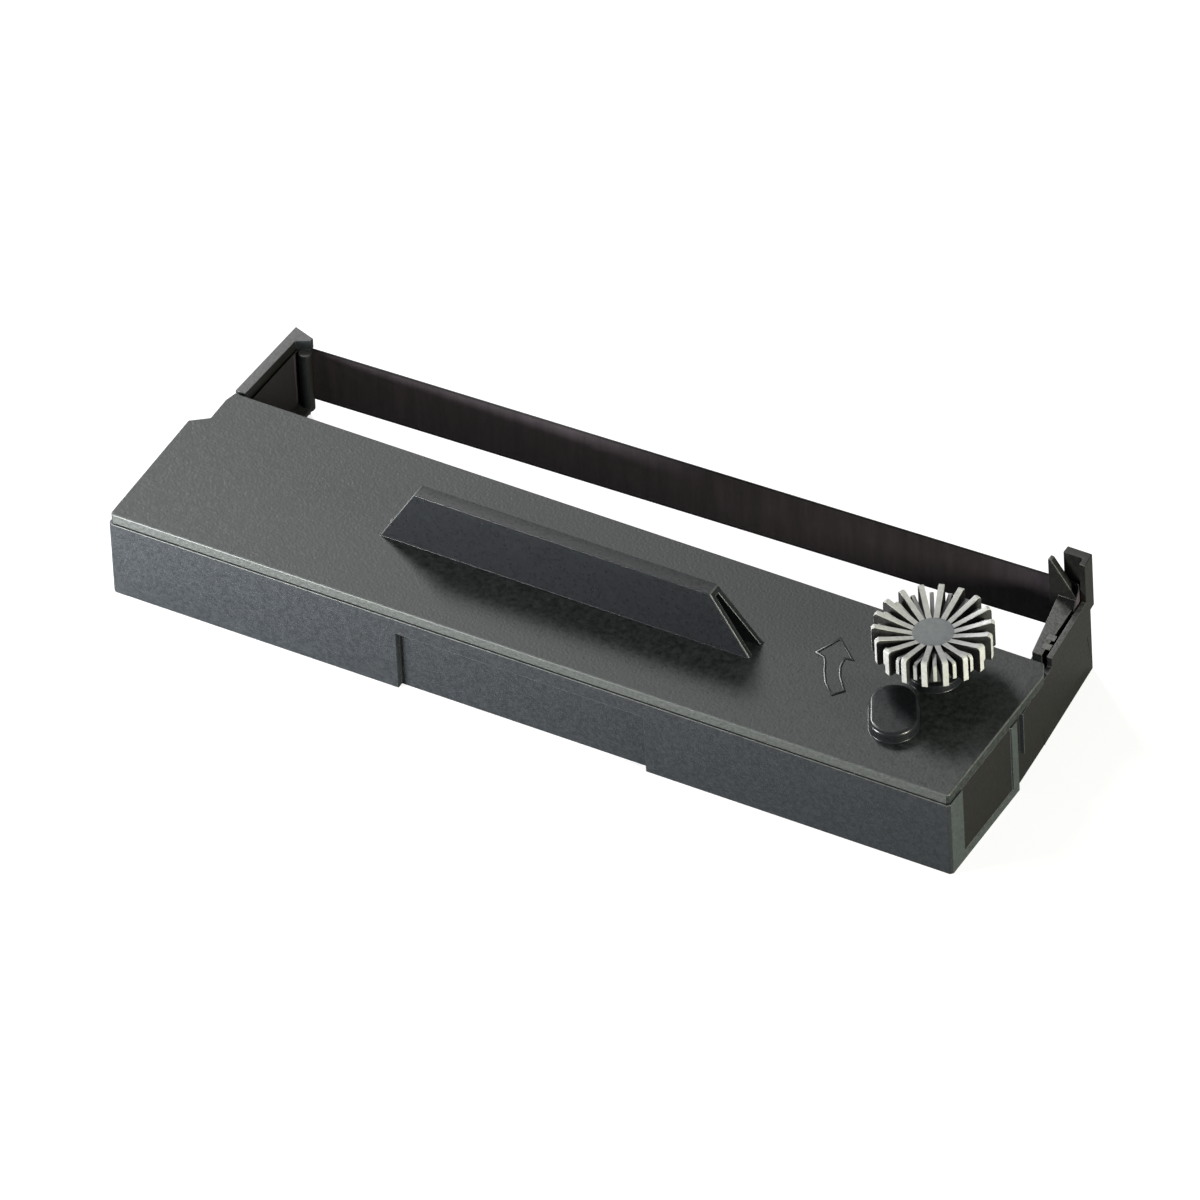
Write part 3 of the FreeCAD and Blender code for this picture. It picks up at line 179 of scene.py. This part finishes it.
def moulded(name, colour, roughness, grain, depth, mottle, sheen_spread=0.08, specular=0.5):
    """Moulded plastic: uneven in tone and sheen, with a fine grain of the given size in metres."""
    material = bpy.data.materials.new(name)
    material.use_nodes = True
    tree = material.node_tree
    surface = tree.nodes["Principled BSDF"]
    surface.inputs["Specular IOR Level"].default_value = specular
    place = tree.nodes.new("ShaderNodeTexCoord")
    cloud = tree.nodes.new("ShaderNodeTexNoise")
    cloud.inputs["Scale"].default_value = 0.6 / grain
    cloud.inputs["Detail"].default_value = 5
    cloud.inputs["Roughness"].default_value = 0.7
    tree.links.new(place.outputs["Object"], cloud.inputs["Vector"])
    tone = tree.nodes.new("ShaderNodeMapRange")
    tone.inputs["From Min"].default_value = 0.35
    tone.inputs["From Max"].default_value = 0.65
    tree.links.new(cloud.outputs["Fac"], tone.inputs["Value"])
    mix = tree.nodes.new("ShaderNodeMix")
    mix.data_type = "RGBA"
    mix.inputs["A"].default_value = [channel * (1 - mottle) for channel in colour] + [1]
    mix.inputs["B"].default_value = [channel * (1 + mottle) for channel in colour] + [1]
    tree.links.new(tone.outputs["Result"], mix.inputs["Factor"])
    tree.links.new(mix.outputs["Result"], surface.inputs["Base Color"])
    sheen = tree.nodes.new("ShaderNodeMapRange")
    sheen.inputs["To Min"].default_value = roughness - sheen_spread
    sheen.inputs["To Max"].default_value = roughness + sheen_spread
    tree.links.new(tone.outputs["Result"], sheen.inputs["Value"])
    tree.links.new(sheen.outputs["Result"], surface.inputs["Roughness"])
    pits = tree.nodes.new("ShaderNodeTexNoise")
    pits.inputs["Scale"].default_value = 1 / grain
    pits.inputs["Detail"].default_value = 3
    tree.links.new(place.outputs["Object"], pits.inputs["Vector"])
    bump = tree.nodes.new("ShaderNodeBump")
    bump.inputs["Distance"].default_value = depth
    tree.links.new(pits.outputs["Fac"], bump.inputs["Height"])
    tree.links.new(bump.outputs["Normal"], surface.inputs["Normal"])
    return material


def softened(node, name, radius, body, slot, finishes):
    """A merged copy of a CAD node with its sharp edges rounded, which stands for the node."""
    piece = bpy.data.objects.new(name, nodes[node].data.copy())
    scene.collection.objects.link(piece)
    edit(piece)
    bpy.ops.mesh.select_all(action="SELECT")
    bpy.ops.mesh.remove_doubles(threshold=0.005 * MM)
    bpy.ops.mesh.dissolve_limited(angle_limit=math.radians(2))
    activate(piece)
    rounded(piece, radius, angle=40, clamp=False)
    bpy.ops.object.shade_smooth_by_angle(angle=math.radians(35))
    flats = piece.modifiers.new("flat_faces", "WEIGHTED_NORMAL")
    flats.keep_sharp = True
    bpy.ops.object.modifier_apply(modifier=flats.name)
    piece.data.materials.clear()
    for finish in finishes:
        piece.data.materials.append(finish)
    mount(piece, body, slot, node)
    return piece


case_plastic = moulded("case_plastic", (0.022, 0.026, 0.03), 0.42, 0.35 * MM, 0.02 * MM, 0.25)
# Painted highlight: a pale colour for the rounded edges that face up or out at the front and the right
# arm, and for the front recess's lip.
case_edge_highlight = moulded("case_edge_painted_highlight", (0.1, 0.105, 0.1), 0.4, 0.35 * MM, 0.01 * MM, 0.3)
# Painted shade: a near-black copy of the case plastic for the right arm's tower and ear and for the
# arms' inward faces.
case_shaded = moulded("case_shaded_plastic", (0.006, 0.006, 0.005), 0.5, 0.35 * MM, 0.01 * MM, 0.2)
# Painted light: a lighter colour for the arms' level tops, the faces that point straight up.
arm_top_light = moulded("arm_top_painted_light", (0.07, 0.072, 0.07), 0.5, 0.4 * MM, 0.05 * MM, 0.5)
# Painted light: a lighter colour for the faces of the right end that face right, as if lit from that
# side.
side_light = moulded("case_side_painted_light", (0.043, 0.053, 0.053), 0.5, 0.35 * MM, 0.02 * MM, 0.25)
case = softened("bottom_case", "case_moulding", 0.13 * MM, "cartridge", "case_plastic",
                (case_plastic, case_edge_highlight, case_shaded, arm_top_light, side_light))
EDGE_HIGHLIGHT, SHADED, ARM_TOP_LIT, SIDE_LIT = 1, 2, 3, 4
STEEP, LEVEL = 0.2, 0.97
arm_root, arm_inner = 9, 69
for face in case.data.polygons:
    x, y, z = face.center / MM
    tower = x > 72 and y > 24.6
    ear = x > arm_inner and y > 10 and z > 13.5 and abs(face.normal.z) < STEEP
    recess_lip_highlight = y < -26.5 and z > 10 and -LEVEL < face.normal.z < -STEEP
    inward = face.normal.x > 0.7 and (70 < x < 79.2 or x < -66 and y > arm_root)
    # Painted shade on the tower and the ear, and further down on the inward faces.
    if tower or ear:
        face.material_index = SHADED
    # Painted highlight on the front recess's lip.
    elif recess_lip_highlight:
        face.material_index = EDGE_HIGHLIGHT
    elif inward:
        face.material_index = SHADED
    # Painted light on the right end's side faces.
    elif face.normal.x > 0.9 and x >= 79.2:
        face.material_index = SIDE_LIT
    # Painted highlight on the rounded edges at the front and along the right arm.
    elif STEEP < face.normal.z < LEVEL and (y < -26.9 or x > arm_inner):
        face.material_index = EDGE_HIGHLIGHT
    # Painted light on the arms' level tops.
    elif face.normal.z > LEVEL and abs(x) > 68 and y > 9.5:
        face.material_index = ARM_TOP_LIT

# Weld spots
# Two round-cornered spots near the right arm's root, where its strip is staked down by heat, which
# leaves the polystyrene a little smoother and proud. Their pale colour is a painted highlight.
staked_painted_highlight = moulded("staked_painted_highlight", (0.16, 0.165, 0.16), 0.35, 0.3 * MM, 0.02 * MM, 0.25)
for index, (x, y) in enumerate([(75.85, 14.5), (76.2, 12.2)]):
    deselect()
    bpy.ops.mesh.primitive_cube_add(size=1, location=(x * MM, y * MM, 17.12 * MM))
    spot = bpy.context.object
    spot.name = f"weld_spot_{index + 1}"
    spot.scale = (1.5 * MM, 1.3 * MM, 0.16 * MM)
    spot.rotation_euler = (0, 0, math.radians(5))
    bpy.ops.object.transform_apply(location=True, rotation=True, scale=True)
    rounded(spot, 0.06 * MM)
    spot.data.materials.append(staked_painted_highlight)
    mount(spot, "cartridge", "case_plastic")

# Top cover
# The lid is a second polystyrene moulding, pressed onto the tray, with the hollow finger grip and
# the pin boss standing on it. Its top is coarsely textured, and its grip and boss are left smooth.
cover_plastic = moulded("cover_plastic", (0.0195, 0.0245, 0.0235), 0.52, 0.5 * MM, 0.035 * MM, 0.8)
cover_smooth = moulded("smooth_cover_plastic", (0.011, 0.0125, 0.0145), 0.3, 0.3 * MM, 0.001 * MM, 0.3,
                       sheen_spread=0.03)
# Painted highlight: a pale colour for the grip's rounded edges, the plate's rounded front and right
# edges, and the cover's front face.
cover_edge_highlight = moulded("cover_edge_painted_highlight", (0.08, 0.088, 0.084), 0.4, 0.35 * MM, 0.01 * MM, 0.3)
cover = softened("top_cover", "cover_moulding", 0.18 * MM, "cartridge", "cover_plastic",
                 (cover_plastic, cover_smooth, cover_edge_highlight))
SMOOTH, COVER_EDGE_HIGHLIGHT = 1, 2
plate_top, cover_front, cover_right, grip_end = 17.1 * MM, -26.9 * MM, 76 * MM, 35 * MM
strip_area = 7 * MM * MM
for face in cover.data.polygons:
    x, y, z = face.center
    grip_edge = (z > plate_top + 0.3 * MM and face.area < strip_area and face.normal.z > 0.05
                 and x < grip_end)
    plate_edge = STEEP < face.normal.z < LEVEL and (y < cover_front or x > cover_right)
    front_face = face.normal.y < -0.9 and y < cover_front
    # Painted highlight on the grip's edges, then on the plate's edges and front face.
    if grip_edge:
        face.material_index = COVER_EDGE_HIGHLIGHT
    elif z > plate_top + 0.02 * MM:
        face.material_index = SMOOTH
    elif plate_edge or front_face:
        face.material_index = COVER_EDGE_HIGHLIGHT

# Direction arrow
# A generic arrow moulded as a low raised line in the cover's top, which shows the way the knob turns.
line_width, line_height, line_root = 0.38 * MM, 0.19 * MM, 0.05 * MM
arrow_tip_first = [
    (44.7, -0.8), (49.6, -5.0), (47.9, -5.2), (48.3, -7.2), (49.3, -9.2), (51.8, -12.2),
    (50.2, -14.3), (47.6, -11.8), (46.2, -9.6), (45.1, -7.4), (44.4, -6.4), (42.6, -6.0),
]
deselect()
bpy.ops.mesh.primitive_circle_add(vertices=len(arrow_tip_first), radius=MM, fill_type="NGON",
                                  location=(0, 0, 0))
arrow = bpy.context.object
arrow.name = "direction_arrow"
for vertex, (x, y) in zip(arrow.data.vertices, arrow_tip_first):
    vertex.co = (x * MM, y * MM, plate_top - line_root)
edit(arrow)
bpy.ops.mesh.select_all(action="SELECT")
bpy.ops.mesh.inset(thickness=line_width, depth=0)
bpy.ops.mesh.delete(type="FACE")
bpy.ops.mesh.select_all(action="SELECT")
bpy.ops.mesh.extrude_region_move(TRANSFORM_OT_translate={"value": (0, 0, line_height)})
bpy.ops.mesh.select_all(action="SELECT")
bpy.ops.mesh.normals_make_consistent(inside=False)
activate(arrow)
rounded(arrow, 0.07 * MM)
bpy.ops.object.shade_smooth_by_angle(angle=math.radians(35))
arrow.data.materials.append(cover_smooth)
mount(arrow, "cartridge", "cover_plastic")

# Knob
# A pale grey acetal moulding with long and short fins round its hub, which turns the feed roller. The
# fins' tops and rims are painted pale as a highlight, and their flanks and the hub's sides dark as
# shade.
knob_plastic = moulded("knob_plastic", (0.2, 0.22, 0.225), 0.4, 0.5 * MM, 0.01 * MM, 0.08)
knob_fin_highlight = moulded("fin_painted_highlight", (0.5, 0.51, 0.49), 0.4, 0.5 * MM, 0.01 * MM, 0.1)
knob_fin_shade = moulded("fin_painted_shade", (0.022, 0.023, 0.022), 0.6, 0.4 * MM, 0.01 * MM, 0.5)
knob = softened("advance_knob", "finned_knob", 0.1 * MM, "drive", "knob_plastic",
                (knob_plastic, knob_fin_highlight, knob_fin_shade))
LIT_FIN, SHADED_FIN = 1, 2
axle = Vector((63.1 * MM, -2.2 * MM))
hub_radius = 4.6 * MM
# Painted highlight on the fins' upward faces and rims, painted shade on their flanks and the hub's
# sides.
for face in knob.data.polygons:
    outward = face.center.xy - axle
    upward = face.normal.z > 0.25
    if outward.length > hub_radius:
        rim = outward.normalized().dot(face.normal.xy) > 0.5
        face.material_index = LIT_FIN if upward or rim else SHADED_FIN
    elif face.normal.z < 0.25:
        face.material_index = SHADED_FIN

# Feed roller, idler roller and idler carrier
# Natural acetal mouldings inside the tray: only the drive socket shows, through the hole below.


def dress(finish, *names):
    for name in names:
        nodes[name].data.materials.clear()
        nodes[name].data.materials.append(finish)


acetal = moulded("natural_acetal", (0.58, 0.56, 0.5), 0.38, 0.5 * MM, 0.008 * MM, 0.05)
dress(acetal, "feed_roller", "idler_roller", "idler_carrier")

# Idler pin and leaf spring
# Drawn steel rod and rolled spring steel strip, bright and finely pitted. The pin is pressed into the
# carrier, and the leaf stands in its slots at the chamber's exit.
steel = moulded("drawn_steel", (0.56, 0.56, 0.58), 0.3, 0.2 * MM, 0.003 * MM, 0.08)
steel.node_tree.nodes["Principled BSDF"].inputs["Metallic"].default_value = 1
dress(steel, "idler_pin", "tension_spring")

# Idler spring
# A coil of round steel wire between the front wall's peg and the carrier's, which pushes the idler
# roller against the feed roller.
spring_low, spring_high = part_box("idler_spring")
wire, turns, steps_per_turn = 0.5 * MM, 5, 28
coil_radius = (spring_high.x - spring_low.x - wire) / 2
coil_length = spring_high.y - spring_low.y - wire
coil_x, coil_z = (spring_low.x + spring_high.x) / 2, (spring_low.z + spring_high.z) / 2
deselect()
bpy.ops.mesh.primitive_circle_add(vertices=10, radius=wire / 2, location=(coil_radius, 0, 0))
coil = bpy.context.object
coil.name = "coil_spring"
bpy.ops.object.transform_apply(location=True, rotation=True, scale=True)
for vertex in coil.data.vertices:
    across, around_wire = vertex.co.x, vertex.co.y
    vertex.co = (across, 0, around_wire)
winding = coil.modifiers.new("winding", "SCREW")
winding.axis = "Z"
winding.iterations = turns
winding.screw_offset = coil_length / turns
winding.steps = steps_per_turn
winding.render_steps = steps_per_turn
bpy.ops.object.modifier_apply(modifier=winding.name)
edit(coil)
bpy.ops.mesh.select_all(action="SELECT")
bpy.ops.mesh.remove_doubles(threshold=0.001 * MM)
bpy.ops.mesh.fill_holes(sides=0)
bpy.ops.mesh.select_all(action="SELECT")
bpy.ops.mesh.normals_make_consistent(inside=False)
activate(coil)
coil.rotation_euler = (math.radians(-90), 0, 0)
coil.location = (coil_x, spring_low.y + wire / 2, coil_z)
bpy.ops.object.transform_apply(location=True, rotation=True, scale=True)
bpy.ops.object.shade_smooth_by_angle(angle=math.radians(50))
coil.data.materials.append(steel)
mount(coil, "cartridge", "bright_steel", "idler_spring")
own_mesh(coil)

# Tension pad
# A block of pressed wool felt glued to the wall at the chamber's exit, with softly furred faces.
fur_spacing, fur_depth = 0.5 * MM, 0.06 * MM
felt_material = moulded("pressed_felt", (0.5, 0.47, 0.41), 0.95, 0.25 * MM, 0.12 * MM, 0.3,
                        specular=0.1)
felt_material.node_tree.nodes["Principled BSDF"].inputs["Sheen Weight"].default_value = 0.4
pad_low, pad_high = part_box("tension_pad")
deselect()
bpy.ops.mesh.primitive_cube_add(size=1, location=(pad_low + pad_high) / 2)
felt = bpy.context.object
felt.name = "felt_pad"
felt.scale = pad_high - pad_low
bpy.ops.object.transform_apply(location=True, rotation=True, scale=True)
edit(felt)
bpy.ops.mesh.select_all(action="SELECT")
bpy.ops.mesh.bevel(offset=0.15 * MM, segments=2)
bpy.ops.mesh.select_all(action="SELECT")
bpy.ops.mesh.subdivide(number_cuts=3)
deselect()
for vertex in felt.data.vertices:
    vertex.co += vertex.normal * (noise.noise(vertex.co / fur_spacing) - 0.6) * fur_depth
activate(felt)
bpy.ops.object.shade_smooth()
felt.data.materials.append(felt_material)
mount(felt, "cartridge", "felt", "tension_pad")

# Ribbon
# Woven nylon, inked purple-black and joined end to end. It stands on edge: out of the nip, round the
# guides, up the right arm, across the print gap and back into the tray at the left.


def around_guides(start, guides, finish):
    """Places along a band pulled taut round guides, each a centre and a radius, passed on its left."""
    places = [Vector(start)]
    heading, steps = 0.0, 10
    for index, (centre, radius) in enumerate(guides):
        centre = Vector(centre)
        following = 2 * math.pi
        if index + 1 < len(guides):
            next_centre, next_radius = guides[index + 1]
            reach = Vector(next_centre) - centre
            following = math.atan2(reach.y, reach.x) + math.asin((radius - next_radius) / reach.length)
            following %= 2 * math.pi
        for step in range(steps + 1):
            angle = heading + (following - heading) * step / steps
            places.append(centre + Vector((math.sin(angle), -math.cos(angle))) * radius)
        heading = following
    places.append(Vector(finish))
    return places


def spaced(places, spacing):
    """The same line with more places on its long runs, and the distance along it at each."""
    line, distances = [places[0]], [0.0]
    for start, finish in zip(places, places[1:]):
        length = (finish - start).length
        count = max(1, round(length / spacing))
        for step in range(1, count + 1):
            line.append(start.lerp(finish, step / count))
            distances.append(distances[-1] + length / count)
    return line, distances


def woven_band(name, line, distances, lows, width, thickness):
    """A grid bent along a line seen from above, standing on edge, with its length along U."""
    rows, spread = 8, len(line) - 1
    deselect()
    bpy.ops.mesh.primitive_grid_add(x_subdivisions=spread, y_subdivisions=rows, size=1,
                                    calc_uvs=True)
    band = bpy.context.object
    band.name = name
    for vertex in band.data.vertices:
        station = round((vertex.co.x + 0.5) * spread)
        height = vertex.co.y + 0.5
        place = line[station]
        vertex.co = (place.x, place.y, lows[station] + height * width)
    layer = band.data.uv_layers.active.data
    for loop in band.data.loops:
        u, v = layer[loop.index].uv
        station = round(u * spread)
        layer[loop.index].uv = (distances[station] / width, v)
    activate(band)
    wall = band.modifiers.new("cloth_thickness", "SOLIDIFY")
    wall.thickness = thickness
    wall.offset = 0
    bpy.ops.object.modifier_apply(modifier=wall.name)
    bpy.ops.object.shade_smooth_by_angle(angle=math.radians(40))
    return band


def inked_weave(name, dark, light):
    """Fine plain weave in the band's own UV, with faint bars across it and dark sealed edges."""
    material = bpy.data.materials.new(name)
    material.use_nodes = True
    tree = material.node_tree
    surface = tree.nodes["Principled BSDF"]
    surface.inputs["Specular IOR Level"].default_value = 0.35
    surface.inputs["Sheen Weight"].default_value = 0.08
    place = tree.nodes.new("ShaderNodeTexCoord")
    threads = []
    for direction in ("X", "Y"):
        wave = tree.nodes.new("ShaderNodeTexWave")
        wave.bands_direction = direction
        wave.inputs["Scale"].default_value = 22
        wave.inputs["Distortion"].default_value = 0.6
        wave.inputs["Detail"].default_value = 1
        tree.links.new(place.outputs["UV"], wave.inputs["Vector"])
        threads.append(wave)
    weave = tree.nodes.new("ShaderNodeMath")
    weave.operation = "ADD"
    tree.links.new(threads[0].outputs["Fac"], weave.inputs[0])
    tree.links.new(threads[1].outputs["Fac"], weave.inputs[1])
    stretch = tree.nodes.new("ShaderNodeMapping")
    stretch.inputs["Scale"].default_value = (3.5, 0.35, 1)
    tree.links.new(place.outputs["UV"], stretch.inputs["Vector"])
    bars = tree.nodes.new("ShaderNodeTexNoise")
    bars.inputs["Scale"].default_value = 1.6
    bars.inputs["Detail"].default_value = 6
    bars.inputs["Roughness"].default_value = 0.75
    tree.links.new(stretch.outputs["Vector"], bars.inputs["Vector"])
    tone = tree.nodes.new("ShaderNodeMapRange")
    tone.inputs["From Min"].default_value = 0.3
    tone.inputs["From Max"].default_value = 0.7
    tree.links.new(bars.outputs["Fac"], tone.inputs["Value"])
    mix = tree.nodes.new("ShaderNodeMix")
    mix.data_type = "RGBA"
    mix.inputs["A"].default_value = dark
    mix.inputs["B"].default_value = light
    tree.links.new(tone.outputs["Result"], mix.inputs["Factor"])
    across = tree.nodes.new("ShaderNodeSeparateXYZ")
    tree.links.new(place.outputs["UV"], across.inputs["Vector"])
    offset = tree.nodes.new("ShaderNodeMath")
    offset.operation = "SUBTRACT"
    offset.inputs[1].default_value = 0.5
    tree.links.new(across.outputs["Y"], offset.inputs[0])
    outward = tree.nodes.new("ShaderNodeMath")
    outward.operation = "ABSOLUTE"
    tree.links.new(offset.outputs["Value"], outward.inputs[0])
    selvedge = tree.nodes.new("ShaderNodeMapRange")
    selvedge.inputs["From Min"].default_value = 0.45
    selvedge.inputs["From Max"].default_value = 0.48
    tree.links.new(outward.outputs["Value"], selvedge.inputs["Value"])
    sealed = tree.nodes.new("ShaderNodeMix")
    sealed.data_type = "RGBA"
    sealed.inputs["B"].default_value = (0.008, 0.007, 0.008, 1)
    tree.links.new(selvedge.outputs["Result"], sealed.inputs["Factor"])
    tree.links.new(mix.outputs["Result"], sealed.inputs["A"])
    tree.links.new(sealed.outputs["Result"], surface.inputs["Base Color"])
    sheen = tree.nodes.new("ShaderNodeMapRange")
    sheen.inputs["From Max"].default_value = 2
    sheen.inputs["To Min"].default_value = 0.75
    sheen.inputs["To Max"].default_value = 0.5
    tree.links.new(weave.outputs["Value"], sheen.inputs["Value"])
    tree.links.new(sheen.outputs["Result"], surface.inputs["Roughness"])
    bump = tree.nodes.new("ShaderNodeBump")
    bump.inputs["Distance"].default_value = 0.03 * MM
    tree.links.new(weave.outputs["Value"], bump.inputs["Height"])
    tree.links.new(bump.outputs["Normal"], surface.inputs["Normal"])
    return material


ribbon_width = 11.2 * MM
cloth = 0.1 * MM
post_radius, guide_radius = 1.375 * MM, 1.975 * MM
guides = [
    ((75.914 * MM, -5.4 * MM), guide_radius),
    ((74.34 * MM, 24.325 * MM), post_radius),
    ((-71.3 * MM, 24.325 * MM), post_radius),
    ((-71.869 * MM, 0.8 * MM), guide_radius),
]
nip_y = -7.375 * MM
ribbon_line, ribbon_distances = spaced(
    around_guides((54.5 * MM, nip_y), guides, (-69.07 * MM, nip_y)), 1.5 * MM)
inked = inked_weave("inked_weave", (0.026, 0.019, 0.024, 1), (0.065, 0.049, 0.06, 1))

# Painted shade: a near-black weave for the ribbon's runs inside the arms.
arm_ribbon_shade = inked_weave("arm_ribbon_painted_shade", (0.006, 0.005, 0.006, 1), (0.012, 0.009, 0.011, 1))

# The ribbon's lower edge, in millimetres: it climbs in the right arm to the ear, falls across the
# print gap to the left arm, and sinks from there to the level of the store.
nip_level, exit_level, left_level, right_level = 2.2, 3.8, 4.2, 8.75
right_arm_levels = [(-7.4, nip_level), (8.8, 2.6), (20.5, left_level), (24.3, right_level)]
left_post, right_post, gap_y = -71.3, 74.3, 24.4


def between(start, finish, share):
    return start + (finish - start) * min(1, max(0, share))


def low_edge(place):
    x, y = place / MM
    if y >= gap_y:
        return between(right_level, left_level, (right_post - x) / (right_post - left_post)) * MM
    if x > 60:
        for (y0, z0), (y1, z1) in zip(right_arm_levels, right_arm_levels[1:]):
            if y <= y1 or z1 == right_level:
                return between(z0, z1, (y - y0) / (y1 - y0)) * MM
    if x < -60:
        if y > 0:
            return (exit_level + (left_level - exit_level) * y / gap_y) * MM
        return (nip_level + (exit_level - nip_level) * (y + 7.4) / 7.4) * MM
    return nip_level * MM


ribbon = woven_band("inked_ribbon", ribbon_line, ribbon_distances,
                    [low_edge(place) for place in ribbon_line], ribbon_width, cloth)
ribbon.data.materials.append(inked)
ribbon.data.materials.append(arm_ribbon_shade)
# Painted shade on the ribbon inside the arms.
for face in ribbon.data.polygons:
    if abs(face.center.x) > 70 * MM and face.center.y < 23.5 * MM:
        face.material_index = 1
mount(ribbon, "cartridge", "inked_ribbon", "ribbon")

# Ribbon store
# The rest of the loop stands in the chamber in loose folds, packed side by side by the feed roller and
# drawn out again past the felt pad.
folds_low, folds_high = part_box("ribbon_folds")
fold_count, thirds, bend_steps = 52, 3, 6
slack = 0.25 * MM
fold_pitch = (folds_high.x - folds_low.x - 2 * cloth) / (fold_count - 1)
bend = fold_pitch / 2
near_y, far_y = folds_low.y + bend + cloth, folds_high.y - bend - cloth
fold_line = []
for index in range(fold_count):
    x = folds_low.x + cloth + index * fold_pitch
    away = index % 2 == 0
    start_y, finish_y = (near_y, far_y) if away else (far_y, near_y)
    for step in range(thirds + 1):
        wander = slack * noise.noise(Vector((index * 0.7, step * 1.3, 0))) if 0 < step < thirds else 0
        fold_line.append(Vector((x + wander, start_y + (finish_y - start_y) * step / thirds)))
    if index + 1 < fold_count:
        for step in range(1, bend_steps):
            angle = math.pi * step / bend_steps
            bulge = bend * math.sin(angle) * (1 if away else -1)
            fold_line.append(Vector((x + bend - bend * math.cos(angle), finish_y + bulge)))
fold_distances = [0.0]
for start, finish in zip(fold_line, fold_line[1:]):
    fold_distances.append(fold_distances[-1] + (finish - start).length)
fold_width = folds_high.z - folds_low.z
folds = woven_band("folded_ribbon", fold_line, fold_distances, [folds_low.z] * len(fold_line),
                   fold_width, cloth)
folds.data.materials.append(inked)
mount(folds, "cartridge", "inked_ribbon", "ribbon_folds")
